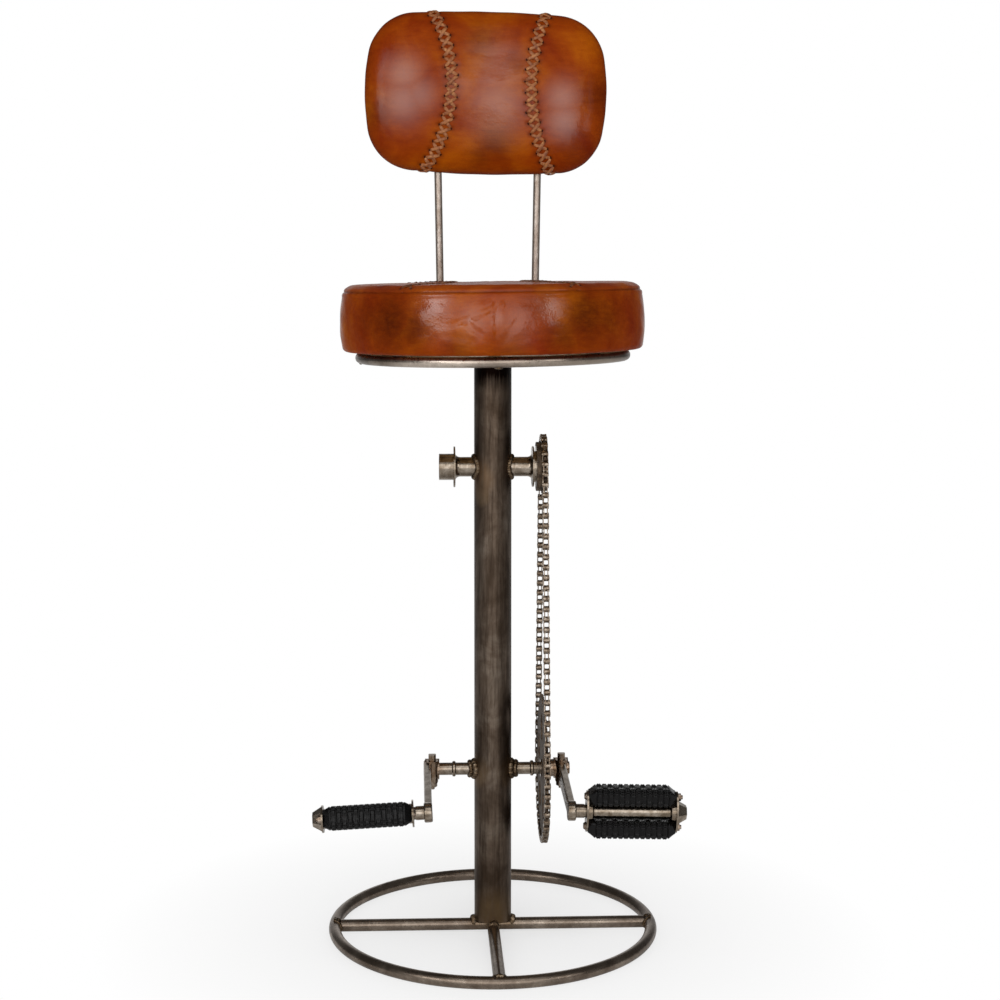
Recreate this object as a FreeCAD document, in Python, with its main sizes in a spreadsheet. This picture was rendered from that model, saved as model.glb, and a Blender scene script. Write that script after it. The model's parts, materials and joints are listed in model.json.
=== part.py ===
import FreeCAD, Part

import os
import re
from math import asin, cos, floor, pi, radians, sin, sqrt

import Sketcher
from FreeCAD import Placement, Rotation, Vector

# A bar stool welded from a steel tube, bent rods and old bicycle parts.
# Lengths are millimetres and angles degrees. The floor is z = 0, the post stands on the
# z axis, the cranks point to -Y and the chain is on the +X side.

sizes = {
    # Base: a ring of round rod with a cross of the same rod inside it
    "baseRingDiameter": 400.8,
    "baseRodDiameter": 15,
    "groundFlatDepth": 0.4,
    "baseCrossRise": 0.8,
    "baseWeldLeg": 5,
    # Post: one steel tube
    "postDiameter": 46.7,
    "postWall": 3,
    # Seat ring under the cushion, with its own cross
    "seatRingHeight": 731.3,
    "seatRingDiameter": 328.6,
    "seatRodDiameter": 13,
    "seatTilt": 0.7,
    "seatWeldLeg": 4,
    "seatTabLength": 28,
    "seatTabOverlap": 1,
    "seatTabWidth": 20,
    "seatTabThickness": 5,
    "seatScrewDiameter": 4.5,
    "seatScrewReach": 9,
    "seatScrewInset": 16,
    # Seat cushion: board, foam and leather
    "seatCushionRadius": 187.3,
    "seatCushionHeight": 82,
    "seatCushionCrown": 2,
    "seatCushionBelly": 1.7,
    "seatShoulderRadius": 17,
    "seatBottomRadius": 9,
    "seatBoardThickness": 12,
    "seatHemWidth": 12,
    "seatSeamAngle": 26,
    "seatSeamLeft": 48,
    "seatSeamLeftCurve": 205,
    "seatSeamRight": 41,
    "seatSeamRightCurve": 265,
    "leatherThickness": 2,
    "seamGap": 0.3,
    # Backrest rods
    "backrestRodDiameter": 10,
    "backrestRodPlace": 197,
    "backrestRodFootCentre": 1.4,
    "backrestRodFootSpread": 124.8,
    "backrestRodSplay": 0.93,
    "backrestRodBend": 22,
    "backrestRodLeg": 90,
    "backrestRodHeight": 410,
    "backrestWeldRadius": 8,
    # Backrest cushion: board, foam and leather
    "backrestCentreSide": -1.3,
    "backrestCentreHeight": 1071.9,
    "backrestWidth": 323,
    "backrestHeight": 216,
    "backrestThickness": 54,
    "backrestCornerRadius": 66,
    "backrestSideCurve": 330,
    "backrestTopCurve": 1500,
    "backrestCrownInset": 52,
    "backrestCrownSteps": 5,
    "backrestRoll": 1.1,
    "backrestRodSetback": 7,
    "backrestBoardThickness": 9,
    "backrestBoardInset": 14,
    "backrestSeamLeft": 46,
    "backrestSeamLeftCurve": 196,
    "backrestSeamLeftRise": 7,
    "backrestSeamRight": 58.5,
    "backrestSeamRightCurve": 247,
    "backrestSeamRightRise": 10.5,
    "clipWidth": 14,
    "clipThickness": 1.5,
    "clipEar": 12,
    "clipHeightLow": 290,
    "clipHeightHigh": 375,
    "clipScrewDiameter": 3.5,
    "clipScrewReach": 6,
    # Chain: half inch pitch, 92 links in a closed loop
    "chainPitch": 12.7,
    "chainRollerDiameter": 7.75,
    "chainInnerWidth": 3.3,
    "chainPlateThickness": 1,
    "chainPlateHeight": 8.3,
    "chainPinDiameter": 3.66,
    "chainBushDiameter": 5,
    "chainPinEnd": 0.4,
    "chainFit": 0.05,
    "chainPlay": 0.1,
    "chainStrandLinks": 30,
    "chainLine": 63.2,
    "chainringTeeth": 44,
    "sprocketTeeth": 18,
    "toothThickness": 2.8,
    "toothHeight": 3.6,
    "toothFlare": 2.2,
    "chainringWindowDiameter": 34,
    "chainringWindowPlace": 52,
    "chainringWindows": 5,
    # Hub cut in two and welded to the post
    "hubNeckDiameter": 24.5,
    "hubBore": 18,
    "hubFlareRadius": 6,
    "hubFlareSteps": 6,
    "hubFlangePlace": 49,
    "hubLeftFlangePlace": 47.1,
    "hubFlangeThickness": 2,
    "hubFlangeDiameter": 51,
    "hubSpokeHoleDiameter": 2.6,
    "hubSpokeHoles": 18,
    "hubSpokeInset": 3,
    "hubThreadDiameter": 34.9,
    "hubThreadLength": 16.2,
    "hubLeftThreadDiameter": 32.8,
    "hubLeftThreadLength": 18.1,
    "hubCupDiameter": 27,
    "hubCupDepth": 8,
    "hubWeldLeg": 5,
    # Freewheel on the right half of the hub
    "freewheelFit": 0.05,
    "freewheelNeckDiameter": 39,
    "freewheelNeckLength": 2.5,
    "freewheelWidth": 16.5,
    "freewheelBodyDiameter": 62,
    "freewheelRaceDiameter": 47.8,
    "freewheelBallDiameter": 3.9,
    "freewheelLockThickness": 2.2,
    "freewheelPinHoleDiameter": 3,
    # Crank spindle, welded through the post
    "spindleHeight": 208.9,
    "spindleDiameter": 15.5,
    "spindleEndLeft": 87.5,
    "spindleEndRight": 97,
    "spindleRidgePlace": 49.2,
    "spindleRidgeWidth": 2.4,
    "spindleRidgeDiameter": 19.4,
    "spindleRidgeSlope": 1.4,
    "spindleWeldLeg": 5,
    # Cottered cranks, both pointing forward
    "crankLength": 165,
    "crankDroop": 2.8,
    "crankBossDiameter": 26,
    "crankBossWidth": 18,
    "crankBossLeft": 67.7,
    "crankBossRight": 77,
    "crankPlaneLeft": 83,
    "crankPlaneRight": 86.4,
    "crankArmThickness": 8.8,
    "crankArmWide": 23,
    "crankArmNarrow": 17,
    "crankArmEdge": 2,
    "crankEyeDiameter": 23.4,
    "crankEyeWidth": 10,
    "crankEyeRounding": 2,
    "crankEyeSteps": 3,
    "crankFit": 0.05,
    "chainringNeckDiameter": 22,
    "chainringShoulderDiameter": 34,
    "chainringShoulderThickness": 4,
    "chainringRivetRim": 1.6,
    # Cotter pins with washers and nuts
    "cotterDiameter": 9.5,
    "cotterOffset": 8.5,
    "cotterFlat": 5.5,
    "cotterHeadProud": 8,
    "cotterPadProud": 0.6,
    "cotterPadDiameter": 15,
    "cotterThreadDiameter": 6,
    "cotterThreadLength": 9.5,
    "cotterWasherDiameter": 14,
    "cotterWasherThickness": 1.2,
    "cotterNutAcross": 11,
    "cotterNutThickness": 5,
    # Pedals
    "pedalDroopLeft": 3,
    "pedalDroopRight": 1.5,
    "pedalSpinLeft": 16.2,
    "pedalSpinRight": 95,
    "pedalThreadDiameter": 14.3,
    "pedalCollarDiameter": 16.4,
    "pedalCollarLength": 9.5,
    "pedalShaftDiameter": 11,
    "pedalStandOff": 12,
    "pedalPlateThickness": 2,
    "pedalPlateLength": 50,
    "pedalPlateHeight": 32,
    "pedalBlockLength": 104,
    "pedalBlockWidth": 22.5,
    "pedalBlockHeight": 29,
    "pedalBlockGap": 17.1,
    "pedalBlockOuterBevel": 9.5,
    "pedalBlockInnerBevel": 8,
    "pedalBlockFaceBevel": 5,
    "pedalRibs": 12,
    "pedalRibDepth": 1.3,
    "pedalBoltPlace": 18.5,
    "pedalBoltDiameter": 5,
    "pedalBoltHeadDiameter": 10,
    "pedalBoltHeadHeight": 2.6,
    "pedalNutAcross": 8,
    "pedalNutThickness": 3.8,
    "pedalBoltEnd": 2,
    "pedalBarrelDiameter": 16.5,
    "pedalBarrelWall": 1.75,
    "pedalCupDiameter": 23,
    "pedalCupLength": 5,
    "pedalCupWall": 1.9,
    "pedalBallDiameter": 3.9,
    "pedalBalls": 11,
    "pedalConeDiameter": 15,
    "pedalConeLength": 4.5,
    "pedalLockAcross": 12,
    "pedalLockThickness": 3.5,
    "pedalCapLength": 11,
    "pedalCapBase": 29,
    "pedalCapEnd": 16.4,
    "pedalCapBore": 15.8,
    "pedalCapWall": 3.4,
    # One overrun for every cutting tool, and the clear space around round inner pieces
    "toolOverrun": 2,
    "softClearance": 0.3,
}

doc = FreeCAD.newDocument("stool")
sheet = doc.addObject("Spreadsheet::Sheet", "Sizes")
for row, (alias, number) in enumerate(sizes.items(), start=1):
    sheet.set(f"A{row}", alias)
    sheet.set(f"B{row}", str(number))
    sheet.setAlias(f"B{row}", alias)
doc.recompute()

nodes = []


# Expressions, values and placements

def tied(text):
    """The expression with every size name written as its cell of the sheet."""
    return re.sub(r"[a-z]+[A-Z]\w*", lambda word: "Sizes." + word.group(), str(text))


def value(text):
    """The present value of an expression of sizes, in millimetres or degrees."""
    number = sheet.evalExpression(str(text))
    return float(getattr(number, "Value", number))


def bind(thing, **expressions):
    for name, text in expressions.items():
        thing.setExpression(name, tied(text))


directions = {
    "X": Rotation(Vector(0, 0, 1), Vector(1, 0, 0)),
    "-X": Rotation(Vector(0, 0, 1), Vector(-1, 0, 0)),
    "Y": Rotation(Vector(0, 0, 1), Vector(0, 1, 0)),
    "-Y": Rotation(Vector(0, 0, 1), Vector(0, -1, 0)),
    "Z": Rotation(),
    "-Z": Rotation(Vector(0, 0, 1), Vector(0, 0, -1)),
}


def turn(axis, angle):
    return Rotation(Vector(*axis), angle)


def place(thing, at, along="Z"):
    thing.Placement = Placement(Vector(), directions[along])
    for axis, text in zip("xyz", at):
        if text != 0:
            thing.setExpression("Placement.Base." + axis, tied(text))
    return thing


# Part primitives and booleans

def cylinder(name, radius, height, at=(0, 0, 0), along="Z"):
    thing = doc.addObject("Part::Cylinder", name)
    bind(thing, Radius=radius, Height=height)
    return place(thing, at, along)


def cone(name, start, end, height, at=(0, 0, 0), along="Z"):
    thing = doc.addObject("Part::Cone", name)
    bind(thing, Radius1=start, Radius2=end, Height=height)
    return place(thing, at, along)


def torus(name, ring, tube, at=(0, 0, 0)):
    thing = doc.addObject("Part::Torus", name)
    bind(thing, Radius1=ring, Radius2=tube)
    return place(thing, at)


def box(name, low, high):
    """Box between two corners."""
    thing = doc.addObject("Part::Box", name)
    length, width, height = [f"({b}) - ({a})" for a, b in zip(low, high)]
    bind(thing, Length=length, Width=width, Height=height)
    return place(thing, low)


def prism(name, across, height, at=(0, 0, 0), along="Z"):
    """Hexagonal prism of a given width across its flats."""
    thing = doc.addObject("Part::Prism", name)
    thing.Polygon = 6
    bind(thing, Circumradius=f"({across}) / sqrt(3)", Height=height)
    return place(thing, at, along)


def cut(base, *tools):
    for tool in tools:
        thing = doc.addObject("Part::Cut", base.Name + "Cut")
        thing.Base = base
        thing.Tool = tool
        base = thing
    return base


def fuse(*things):
    thing = doc.addObject("Part::MultiFuse", things[0].Name + "Fuse")
    thing.Shapes = list(things)
    return thing


def common(*things):
    thing = doc.addObject("Part::MultiCommon", things[0].Name + "Common")
    thing.Shapes = list(things)
    return thing


def group(*things, frame=None):
    thing = doc.addObject("Part::Compound", things[0].Name + "Group")
    thing.Links = list(things)
    if frame is not None:
        thing.Placement = frame
    return thing


def shaped(name, shape, frame=None):
    """A shape worked out in this file from the sheet's sizes."""
    thing = doc.addObject("Part::Feature", name)
    thing.Shape = shape
    if frame is not None:
        thing.Placement = frame
    return thing


def sub_part(label, *things, frame=None):
    """Name a finished sub-part; several solids, or a placed frame, make a group."""
    thing = things[0]
    if len(things) > 1 or frame is not None:
        thing = group(*things, frame=frame)
    thing.Label = label
    nodes.append(thing)
    return thing


# PartDesign bodies

def origin_feature(body, role):
    return next(item for item in body.Origin.OriginFeatures if item.Role == role)


def new_body(name):
    return doc.addObject("PartDesign::Body", name)


def new_sketch(body, role, offset=0):
    sketch = body.newObject("Sketcher::SketchObject", body.Name + "Sketch")
    sketch.AttachmentSupport = [(origin_feature(body, role), "")]
    sketch.MapMode = "FlatFace"
    if offset != 0:
        sketch.setExpression("AttachmentOffset.Base.z", tied(offset))
    return sketch


def hold_point(sketch, geometry, point, x, y):
    """Tie a sketch point to the sheet, or to an axis where its place is zero."""
    for kind, axis, text in (("DistanceX", -2, x), ("DistanceY", -1, y)):
        if text == 0:
            sketch.addConstraint(Sketcher.Constraint("PointOnObject", geometry, point, axis))
        else:
            rule = Sketcher.Constraint(kind, -1, 1, geometry, point, value(text))
            number = sketch.addConstraint(rule)
            sketch.setExpression(f"Constraints[{number}]", tied(text))


def draw_polygon(sketch, corners):
    points = [Vector(value(x), value(y), 0) for x, y in corners]
    count = len(points)
    for index in range(count):
        sketch.addGeometry(Part.LineSegment(points[index], points[(index + 1) % count]))
    for index in range(count):
        sketch.addConstraint(Sketcher.Constraint("Coincident", index, 2, (index + 1) % count, 1))
    for index, (x, y) in enumerate(corners):
        hold_point(sketch, index, 1, x, y)


def draw_circle(sketch, radius, x=0, y=0):
    centre = Vector(value(x), value(y), 0)
    geometry = sketch.addGeometry(Part.Circle(centre, Vector(0, 0, 1), value(radius)))
    number = sketch.addConstraint(Sketcher.Constraint("Radius", geometry, value(radius)))
    sketch.setExpression(f"Constraints[{number}]", tied(radius))
    hold_point(sketch, geometry, 3, x, y)


def pad(body, sketch, length):
    feature = body.newObject("PartDesign::Pad", body.Name + "Pad")
    feature.Profile = sketch
    feature.SideType = "Symmetric"
    bind(feature, Length=length)
    return feature


def pocket(body, sketch, length):
    feature = body.newObject("PartDesign::Pocket", body.Name + "Pocket")
    feature.Profile = sketch
    feature.SideType = "Symmetric"
    bind(feature, Length=length)
    return feature


def polar_pattern(body, features, count):
    """Repeat features around the body's X axis."""
    feature = body.newObject("PartDesign::PolarPattern", body.Name + "Pattern")
    feature.Originals = list(features)
    feature.Axis = (origin_feature(body, "X_Axis"), [""])
    feature.Angle = 360
    bind(feature, Occurrences=count)
    body.Tip = feature
    return feature


def turned_body(name, corners):
    """A body turned about its X axis from corners given as (along X, radius)."""
    body = new_body(name)
    sketch = new_sketch(body, "XZ_Plane")
    draw_polygon(sketch, corners)
    feature = body.newObject("PartDesign::Revolution", name + "Revolution")
    feature.Profile = sketch
    feature.ReferenceAxis = (sketch, ["H_Axis"])
    feature.Angle = 360
    return body


# Places shared by several sub-parts

base_ring_height = "baseRodDiameter / 2 - groundFlatDepth"
base_cross_height = f"{base_ring_height} + baseCrossRise"
post_foot = f"{base_cross_height} + baseRodDiameter / 2"
post_top = "seatRingHeight - seatRodDiameter / 2 - postDiameter / 2 * tan(seatTilt)"
chainring_pitch_radius = "chainPitch / (2 * sin(180 / chainringTeeth))"
sprocket_pitch_radius = "chainPitch / (2 * sin(180 / sprocketTeeth))"
chainring_wrap = "(floor(chainringTeeth / 4) + 1)"
sprocket_wrap = "floor(sprocketTeeth / 4)"
chainring_leave = f"(360 / chainringTeeth * {chainring_wrap})"
sprocket_leave = f"(360 / sprocketTeeth * {sprocket_wrap})"
strand_drift = (f"({chainring_pitch_radius} * sin({chainring_leave})"
                f" - {sprocket_pitch_radius} * sin({sprocket_leave}))")
strand_rise = f"sqrt((chainStrandLinks * chainPitch)^2 - {strand_drift}^2)"
# The hub stands where whole links close the loop, with a pin at the lowest point of the
# chainring and one at the highest point of the sprocket.
centre_distance = (f"({strand_rise} - {chainring_pitch_radius} * cos({chainring_leave})"
                   f" - {sprocket_pitch_radius} * cos({sprocket_leave}))")
hub_height = f"spindleHeight + {centre_distance}"
seat_frame = Placement(Vector(0, 0, value("seatRingHeight")), turn((0, 1, 0), -value("seatTilt")))


# Base and post

def make_cross(name, ring, tube, height, frame=None):
    """A cross rod from side to side and two spokes, butted inside a ring of rod."""
    reach = f"sqrt(({ring} - {tube})^2 - ({tube})^2)"
    bar = cylinder(name + "Bar", tube, f"2 * {reach}", (f"-{reach}", 0, height), "X")
    spokes = []
    for side, along in ((-1, "-Y"), (1, "Y")):
        start = f"{side} * ({tube})"
        spokes.append(cylinder(name + "Spoke", tube, f"{reach} - ({tube})", (0, start, height), along))
    return bar, spokes


def make_beads(name, ring, tube, height, leg):
    """Weld beads where the four rod ends meet the ring."""
    beads = []
    for along, (x, y) in {"X": (1, 0), "-X": (-1, 0), "Y": (0, 1), "-Y": (0, -1)}.items():
        start = f"({ring} - {tube} - {leg})"
        at = (f"{x} * {start}" if x else 0, f"{y} * {start}" if y else 0, height)
        beads.append(cone(name, f"{tube} + {leg} / 8", f"{tube} + {leg} / 3",
                          f"{leg} + {tube} / 3", at, along))
    return group(*beads)


def make_base():
    ring = "baseRingDiameter / 2"
    tube = "baseRodDiameter / 2"
    reach = f"{ring} + {tube} + toolOverrun"
    ground = box("ground", (f"-({reach})", f"-({reach})", "-toolOverrun"), (reach, reach, 0))
    base_ring = cut(torus("baseRing", ring, tube, (0, 0, base_ring_height)), ground)
    sub_part("base_ring", base_ring)
    bar, spokes = make_cross("base", ring, tube, base_cross_height)
    sub_part("base_cross_bar", bar)
    sub_part("base_spokes", *spokes)

    beads = make_beads("baseBead", ring, tube, base_cross_height, "baseWeldLeg")
    foot = cone("footBead", "postDiameter / 2 + baseWeldLeg", "postDiameter / 2 + baseWeldLeg / 8",
                "baseWeldLeg * 2", (0, 0, f"{post_foot} - baseWeldLeg"))
    half = f"{tube} + baseWeldLeg / 3"
    long_box = box("footBeadAcross", (f"-({ring})", f"-({half})", 0), (ring, half, "postDiameter"))
    wide_box = box("footBeadAlong", (f"-({half})", f"-({ring})", 0), (half, ring, "postDiameter"))
    foot = common(foot, fuse(long_box, wide_box))
    clear = box("beadGround", (f"-({reach})", f"-({reach})", "-toolOverrun - baseWeldLeg"),
                (reach, reach, "baseCrossRise / 2"))
    post_space = cylinder("footPost", "postDiameter / 2", "postDiameter", (0, 0, 0))
    beads = cut(beads, base_ring, bar, *spokes, clear)
    foot = cut(foot, post_space, bar, *spokes)
    sub_part("base_welds", beads, foot)


def make_post():
    length = f"{post_top} - ({post_foot})"
    post_outside = cylinder("postTube", "postDiameter / 2", length, (0, 0, post_foot))
    bore = cylinder("postBore", "postDiameter / 2 - postWall", f"{length} + 2 * toolOverrun",
                    (0, 0, f"{post_foot} - toolOverrun"))
    across = cylinder("postSpindleHole", "spindleDiameter / 2", "postDiameter + 2 * toolOverrun",
                      ("-postDiameter / 2 - toolOverrun", 0, "spindleHeight"), "X")
    sub_part("post", cut(post_outside, bore, across))


# Seat

def cushion_profile(inset):
    """Half outline of the seat cushion, kept a steady distance inside the leather's face."""
    radius = value("seatCushionRadius")
    top = value("seatCushionHeight")
    shoulder = value("seatShoulderRadius")
    bottom = value("seatBottomRadius")
    rise = value("seatCushionCrown")
    belly = value("seatCushionBelly")
    flat = radius - shoulder
    lean = sqrt(0.5)
    crown = Part.Arc(Vector(0, 0, top + rise - inset),
                     Vector(flat / 2, 0, top + rise * 3 / 4 - inset),
                     Vector(flat, 0, top - inset))
    upper = Part.Arc(Vector(flat, 0, top - inset),
                     Vector(flat + (shoulder - inset) * lean, 0,
                            top - shoulder + (shoulder - inset) * lean),
                     Vector(radius - inset, 0, top - shoulder))
    side = Part.Arc(Vector(radius - inset, 0, top - shoulder),
                    Vector(radius + belly - inset, 0, (top - shoulder + bottom) / 2),
                    Vector(radius - inset, 0, bottom))
    lower = Part.Arc(Vector(radius - inset, 0, bottom),
                     Vector(radius - bottom + (bottom - inset) * lean, 0,
                            bottom - (bottom - inset) * lean),
                     Vector(radius - bottom, 0, inset))
    floor_line = Part.LineSegment(Vector(radius - bottom, 0, inset), Vector(0, 0, inset))
    axis_line = Part.LineSegment(Vector(0, 0, inset), Vector(0, 0, top + rise - inset))
    edges = [curve.toShape() for curve in (crown, upper, side, lower, floor_line, axis_line)]
    return Part.Face(Part.Wire(edges)).revolve(Vector(), Vector(0, 0, 1), 360)


def make_screw(diameter, through, reach):
    """One screw along +Z whose head ends at z = 0."""
    shank = Part.makeCylinder(diameter / 2, through + reach * 2 / 3)
    point = Part.makeCone(diameter / 2, diameter / 8, reach / 3, Vector(0, 0, through + reach * 2 / 3))
    head = Part.makeCone(diameter * 0.7, diameter * 0.95, diameter / 2, Vector(0, 0, -diameter / 2))
    return head.fuse([shank, point]).removeSplitter()


def make_seat():
    ring = "seatRingDiameter / 2"
    tube = "seatRodDiameter / 2"
    seat_ring = sub_part("seat_ring", torus("seatRing", ring, tube), frame=seat_frame)
    bar, spokes = make_cross("seat", ring, tube, 0)
    cross_bar = sub_part("seat_cross_bar", bar, frame=seat_frame)
    cross_spokes = sub_part("seat_spokes", *spokes, frame=seat_frame)

    # Four flat tabs lie on top of the ring; they carry the board and its wood screws
    tabs = []
    screws = []
    thick = value("seatTabThickness")
    low = value(tube)
    wide = value("seatTabWidth")
    start = value(f"{ring} + seatTabOverlap - seatTabLength")
    hole = value("seatScrewDiameter / 2 + chainFit")
    screw_place = start + value("seatTabLength - seatScrewInset")
    screw = make_screw(value("seatScrewDiameter"), thick, value("seatScrewReach"))
    tab = Part.makeBox(value("seatTabLength"), wide, thick, Vector(start, -wide / 2, low))
    tab = tab.cut(Part.makeCylinder(hole, thick, Vector(screw_place, 0, low)))
    for quarter in range(4):
        about = Placement(Vector(), turn((0, 0, 1), 45 + 90 * quarter))
        tabs.append(placed(tab, about))
        under_tab = Placement(Vector(screw_place, 0, low), Rotation())
        screws.append(placed(screw, about.multiply(under_tab)))
    sub_part("seat_tabs", shaped("seatTabs", Part.makeCompound(tabs), seat_frame))
    screw_set = sub_part("seat_screws", shaped("seatScrews", Part.makeCompound(screws), seat_frame))

    beads = make_beads("seatBead", ring, tube, 0, "seatWeldLeg")
    beads.Placement = seat_frame
    head = cone("postHeadBead", "postDiameter / 2 + seatWeldLeg / 8", "postDiameter / 2 + seatWeldLeg",
                "seatWeldLeg * 2", (0, 0, f"{post_top} - seatWeldLeg"))
    half = f"{tube} + seatWeldLeg / 3"
    low = f"{post_top} - postDiameter"
    high = f"{post_top} + seatRodDiameter / 2"
    long_box = box("headBeadAcross", (f"-({ring})", f"-({half})", low), (ring, half, high))
    wide_box = box("headBeadAlong", (f"-({half})", f"-({ring})", low), (half, ring, high))
    post_space = cylinder("headPost", "postDiameter / 2", "postDiameter * 2", (0, 0, low))
    head = cut(common(head, fuse(long_box, wide_box)), post_space, cross_bar, cross_spokes)
    flush = f"{tube} - softClearance"
    board_space = box("beadBoardSpace", (f"-({ring})", f"-({ring})", flush), (ring, ring, "postDiameter"))
    beads = cut(beads, seat_ring, cross_bar, cross_spokes, group(board_space, frame=seat_frame))
    sub_part("seat_welds", beads, head)
    make_seat_cushion(screw_set)


def make_seat_cushion(screw_set):
    """Board, foam and leather panels; the board rests on the tabs of the seat ring."""
    leather = "leatherThickness"
    rise = value(f"seatRodDiameter / 2 + seatTabThickness - {leather}")
    frame = seat_frame.multiply(Placement(Vector(0, 0, rise), Rotation()))
    outer = shaped("seatCushionOutside", cushion_profile(0), frame)
    inner = shaped("seatCushionInside", cushion_profile(value(leather)), frame)
    reach = "seatCushionRadius + seatCushionBelly + toolOverrun"
    board_top = f"{leather} + seatBoardThickness"
    tall = "seatCushionHeight + seatCushionCrown + toolOverrun"

    board_space = cylinder("seatBoardSpace", reach, board_top)
    sub_part("seat_board", cut(common(inner, group(board_space, frame=frame)), screw_set))
    foam_space = cylinder("seatFoamSpace", reach, tall, (0, 0, board_top))
    sub_part("seat_foam", common(inner, group(foam_space, frame=frame)))

    # The seam between side and top runs round the shoulder
    seam = "(seatCushionHeight - seatShoulderRadius + seatShoulderRadius * sin(seatSeamAngle))"
    hem = cylinder("seatHemOpening", "seatCushionRadius - seatBottomRadius - seatHemWidth",
                   f"{leather} + 2 * toolOverrun", (0, 0, "-toolOverrun"))
    skin = cut(outer, inner, group(hem, frame=frame))
    side_height = f"{seam} + toolOverrun - seamGap / 2"
    side_space = cylinder("seatSideSpace", reach, side_height, (0, 0, "-toolOverrun"))
    sub_part("seat_cover_side", common(skin, group(side_space, frame=frame)))
    top_space = cylinder("seatTopSpace", reach, tall, (0, 0, f"{seam} + seamGap / 2"))
    top = common(skin, group(top_space, frame=frame))
    sides = []
    gaps = []
    for side, seam_name in ((-1, "seatSeamLeft"), (1, "seatSeamRight")):
        centre = f"{side} * ({seam_name} + {seam_name}Curve)"
        for pieces, radius in ((sides, f"{seam_name}Curve - seamGap / 2"),
                               (gaps, f"{seam_name}Curve + seamGap / 2")):
            at = (centre, 0, "-toolOverrun")
            pillar = cylinder("seatPanelSpace", radius, f"{tall} + 2 * toolOverrun", at)
            pieces.append(group(pillar, frame=frame))
    sub_part("seat_cover_middle", cut(top, *gaps))
    sub_part("seat_cover_sides", *[common(top, pillar) for pillar in sides])


def placed(shape, placement):
    copy = shape.copy()
    copy.Placement = placement
    return copy


# Backrest

backrest_frame = Placement(Vector(value("backrestCentreSide"),
                                  value("backrestRodPlace - backrestRodSetback"),
                                  value("backrestCentreHeight")),
                           turn((0, 1, 0), value("backrestRoll")))


def pillow_outline(inset, depth):
    """Closed outline of four long side arcs and four corner arcs, all meeting smoothly.

    The side arcs are centred on the axes. A corner's centre lies where it touches both of
    its side arcs from inside. An inset keeps every centre and takes the same from each radius.
    """
    half_width = value("backrestWidth") / 2
    half_height = value("backrestHeight") / 2
    side = value("backrestSideCurve")
    top = value("backrestTopCurve")
    corner = value("backrestCornerRadius")
    side_centre = half_width - side
    top_centre = half_height - top
    # Corner centre: on circles of radius (side - corner) and (top - corner) about those centres
    distance = sqrt(side_centre ** 2 + top_centre ** 2)
    near = side - corner
    far = top - corner
    along = (near ** 2 - far ** 2 + distance ** 2) / (2 * distance)
    across = sqrt(near ** 2 - along ** 2)
    step_x = -side_centre / distance
    step_z = top_centre / distance
    corner_x = side_centre + along * step_x - across * step_z
    corner_z = along * step_z + across * step_x
    side_reach = (side - inset) / near
    side_x = side_centre + (corner_x - side_centre) * side_reach
    side_z = corner_z * side_reach
    top_reach = (top - inset) / far
    top_x = corner_x * top_reach
    top_z = top_centre + (corner_z - top_centre) * top_reach
    out_x = (side_x - corner_x) + (top_x - corner_x)
    out_z = (side_z - corner_z) + (top_z - corner_z)
    out = (corner - inset) / sqrt(out_x ** 2 + out_z ** 2)
    mid_x = corner_x + out_x * out
    mid_z = corner_z + out_z * out

    def point(x, z):
        return Vector(x, depth, z)

    right = half_width - inset
    high = half_height - inset
    edges = []
    for x, z in ((1, 1), (-1, -1)):
        first = (point(x * side_x, -z * side_z), point(x * right, 0), point(x * side_x, z * side_z))
        second = (point(x * side_x, z * side_z), point(x * mid_x, z * mid_z), point(x * top_x, z * top_z))
        third = (point(x * top_x, z * top_z), point(0, z * high), point(-x * top_x, z * top_z))
        fourth = (point(-x * top_x, z * top_z), point(-x * mid_x, z * mid_z),
                  point(-x * side_x, z * side_z))
        edges += [Part.Arc(*points).toShape() for points in (first, second, third, fourth)]
    return Part.Wire(edges)


def pillow(inset):
    """Crowned backrest cushion: its edge is half an ellipse from the front to the back face."""
    half = value("backrestThickness") / 2 - inset
    draw_in = value("backrestCrownInset") - inset
    steps = round(value("backrestCrownSteps"))
    wires = []
    for index in range(-steps, steps + 1):
        angle = pi / 2 * index / steps
        wires.append(pillow_outline(inset + draw_in * (1 - cos(angle)), half * sin(angle)))
    return Part.makeLoft(wires, True, False)


def rod_frame(side):
    """Foot of one upright, under the seat ring and following its tilt."""
    spread = value("backrestRodFootSpread") / 2
    foot = value("backrestRodFootCentre") + side * spread
    height = value("seatRingHeight - seatRodDiameter / 2 - backrestRodDiameter / 2")
    height += foot * sin(radians(value("seatTilt")))
    place_at = Vector(foot, value("backrestRodPlace"), height)
    return Placement(place_at, turn((0, 1, 0), side * value("backrestRodSplay")))


def make_rod(frame):
    """Upright rod with a bent leg that runs forward under the seat ring."""
    radius = "backrestRodDiameter / 2"
    leg = cylinder("rodLeg", radius, "backrestRodLeg - backrestRodBend", (0, "-backrestRodBend", 0), "-Y")
    bend = doc.addObject("Part::Torus", "rodBend")
    bind(bend, Radius1="backrestRodBend", Radius2=radius)
    bend.Angle3 = 90
    quarter = Rotation(Vector(0, 0, -1), Vector(0, 1, 0), Vector(1, 0, 0), "ZXY")
    bend.Placement = Placement(Vector(), quarter)
    bend.setExpression("Placement.Base.y", tied("-backrestRodBend"))
    bend.setExpression("Placement.Base.z", tied("backrestRodBend"))
    upright = cylinder("rodUpright", radius, "backrestRodHeight - backrestRodBend",
                       (0, 0, "backrestRodBend"))
    rod = fuse(leg, bend, upright)
    rod.Placement = frame
    return rod


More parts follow.
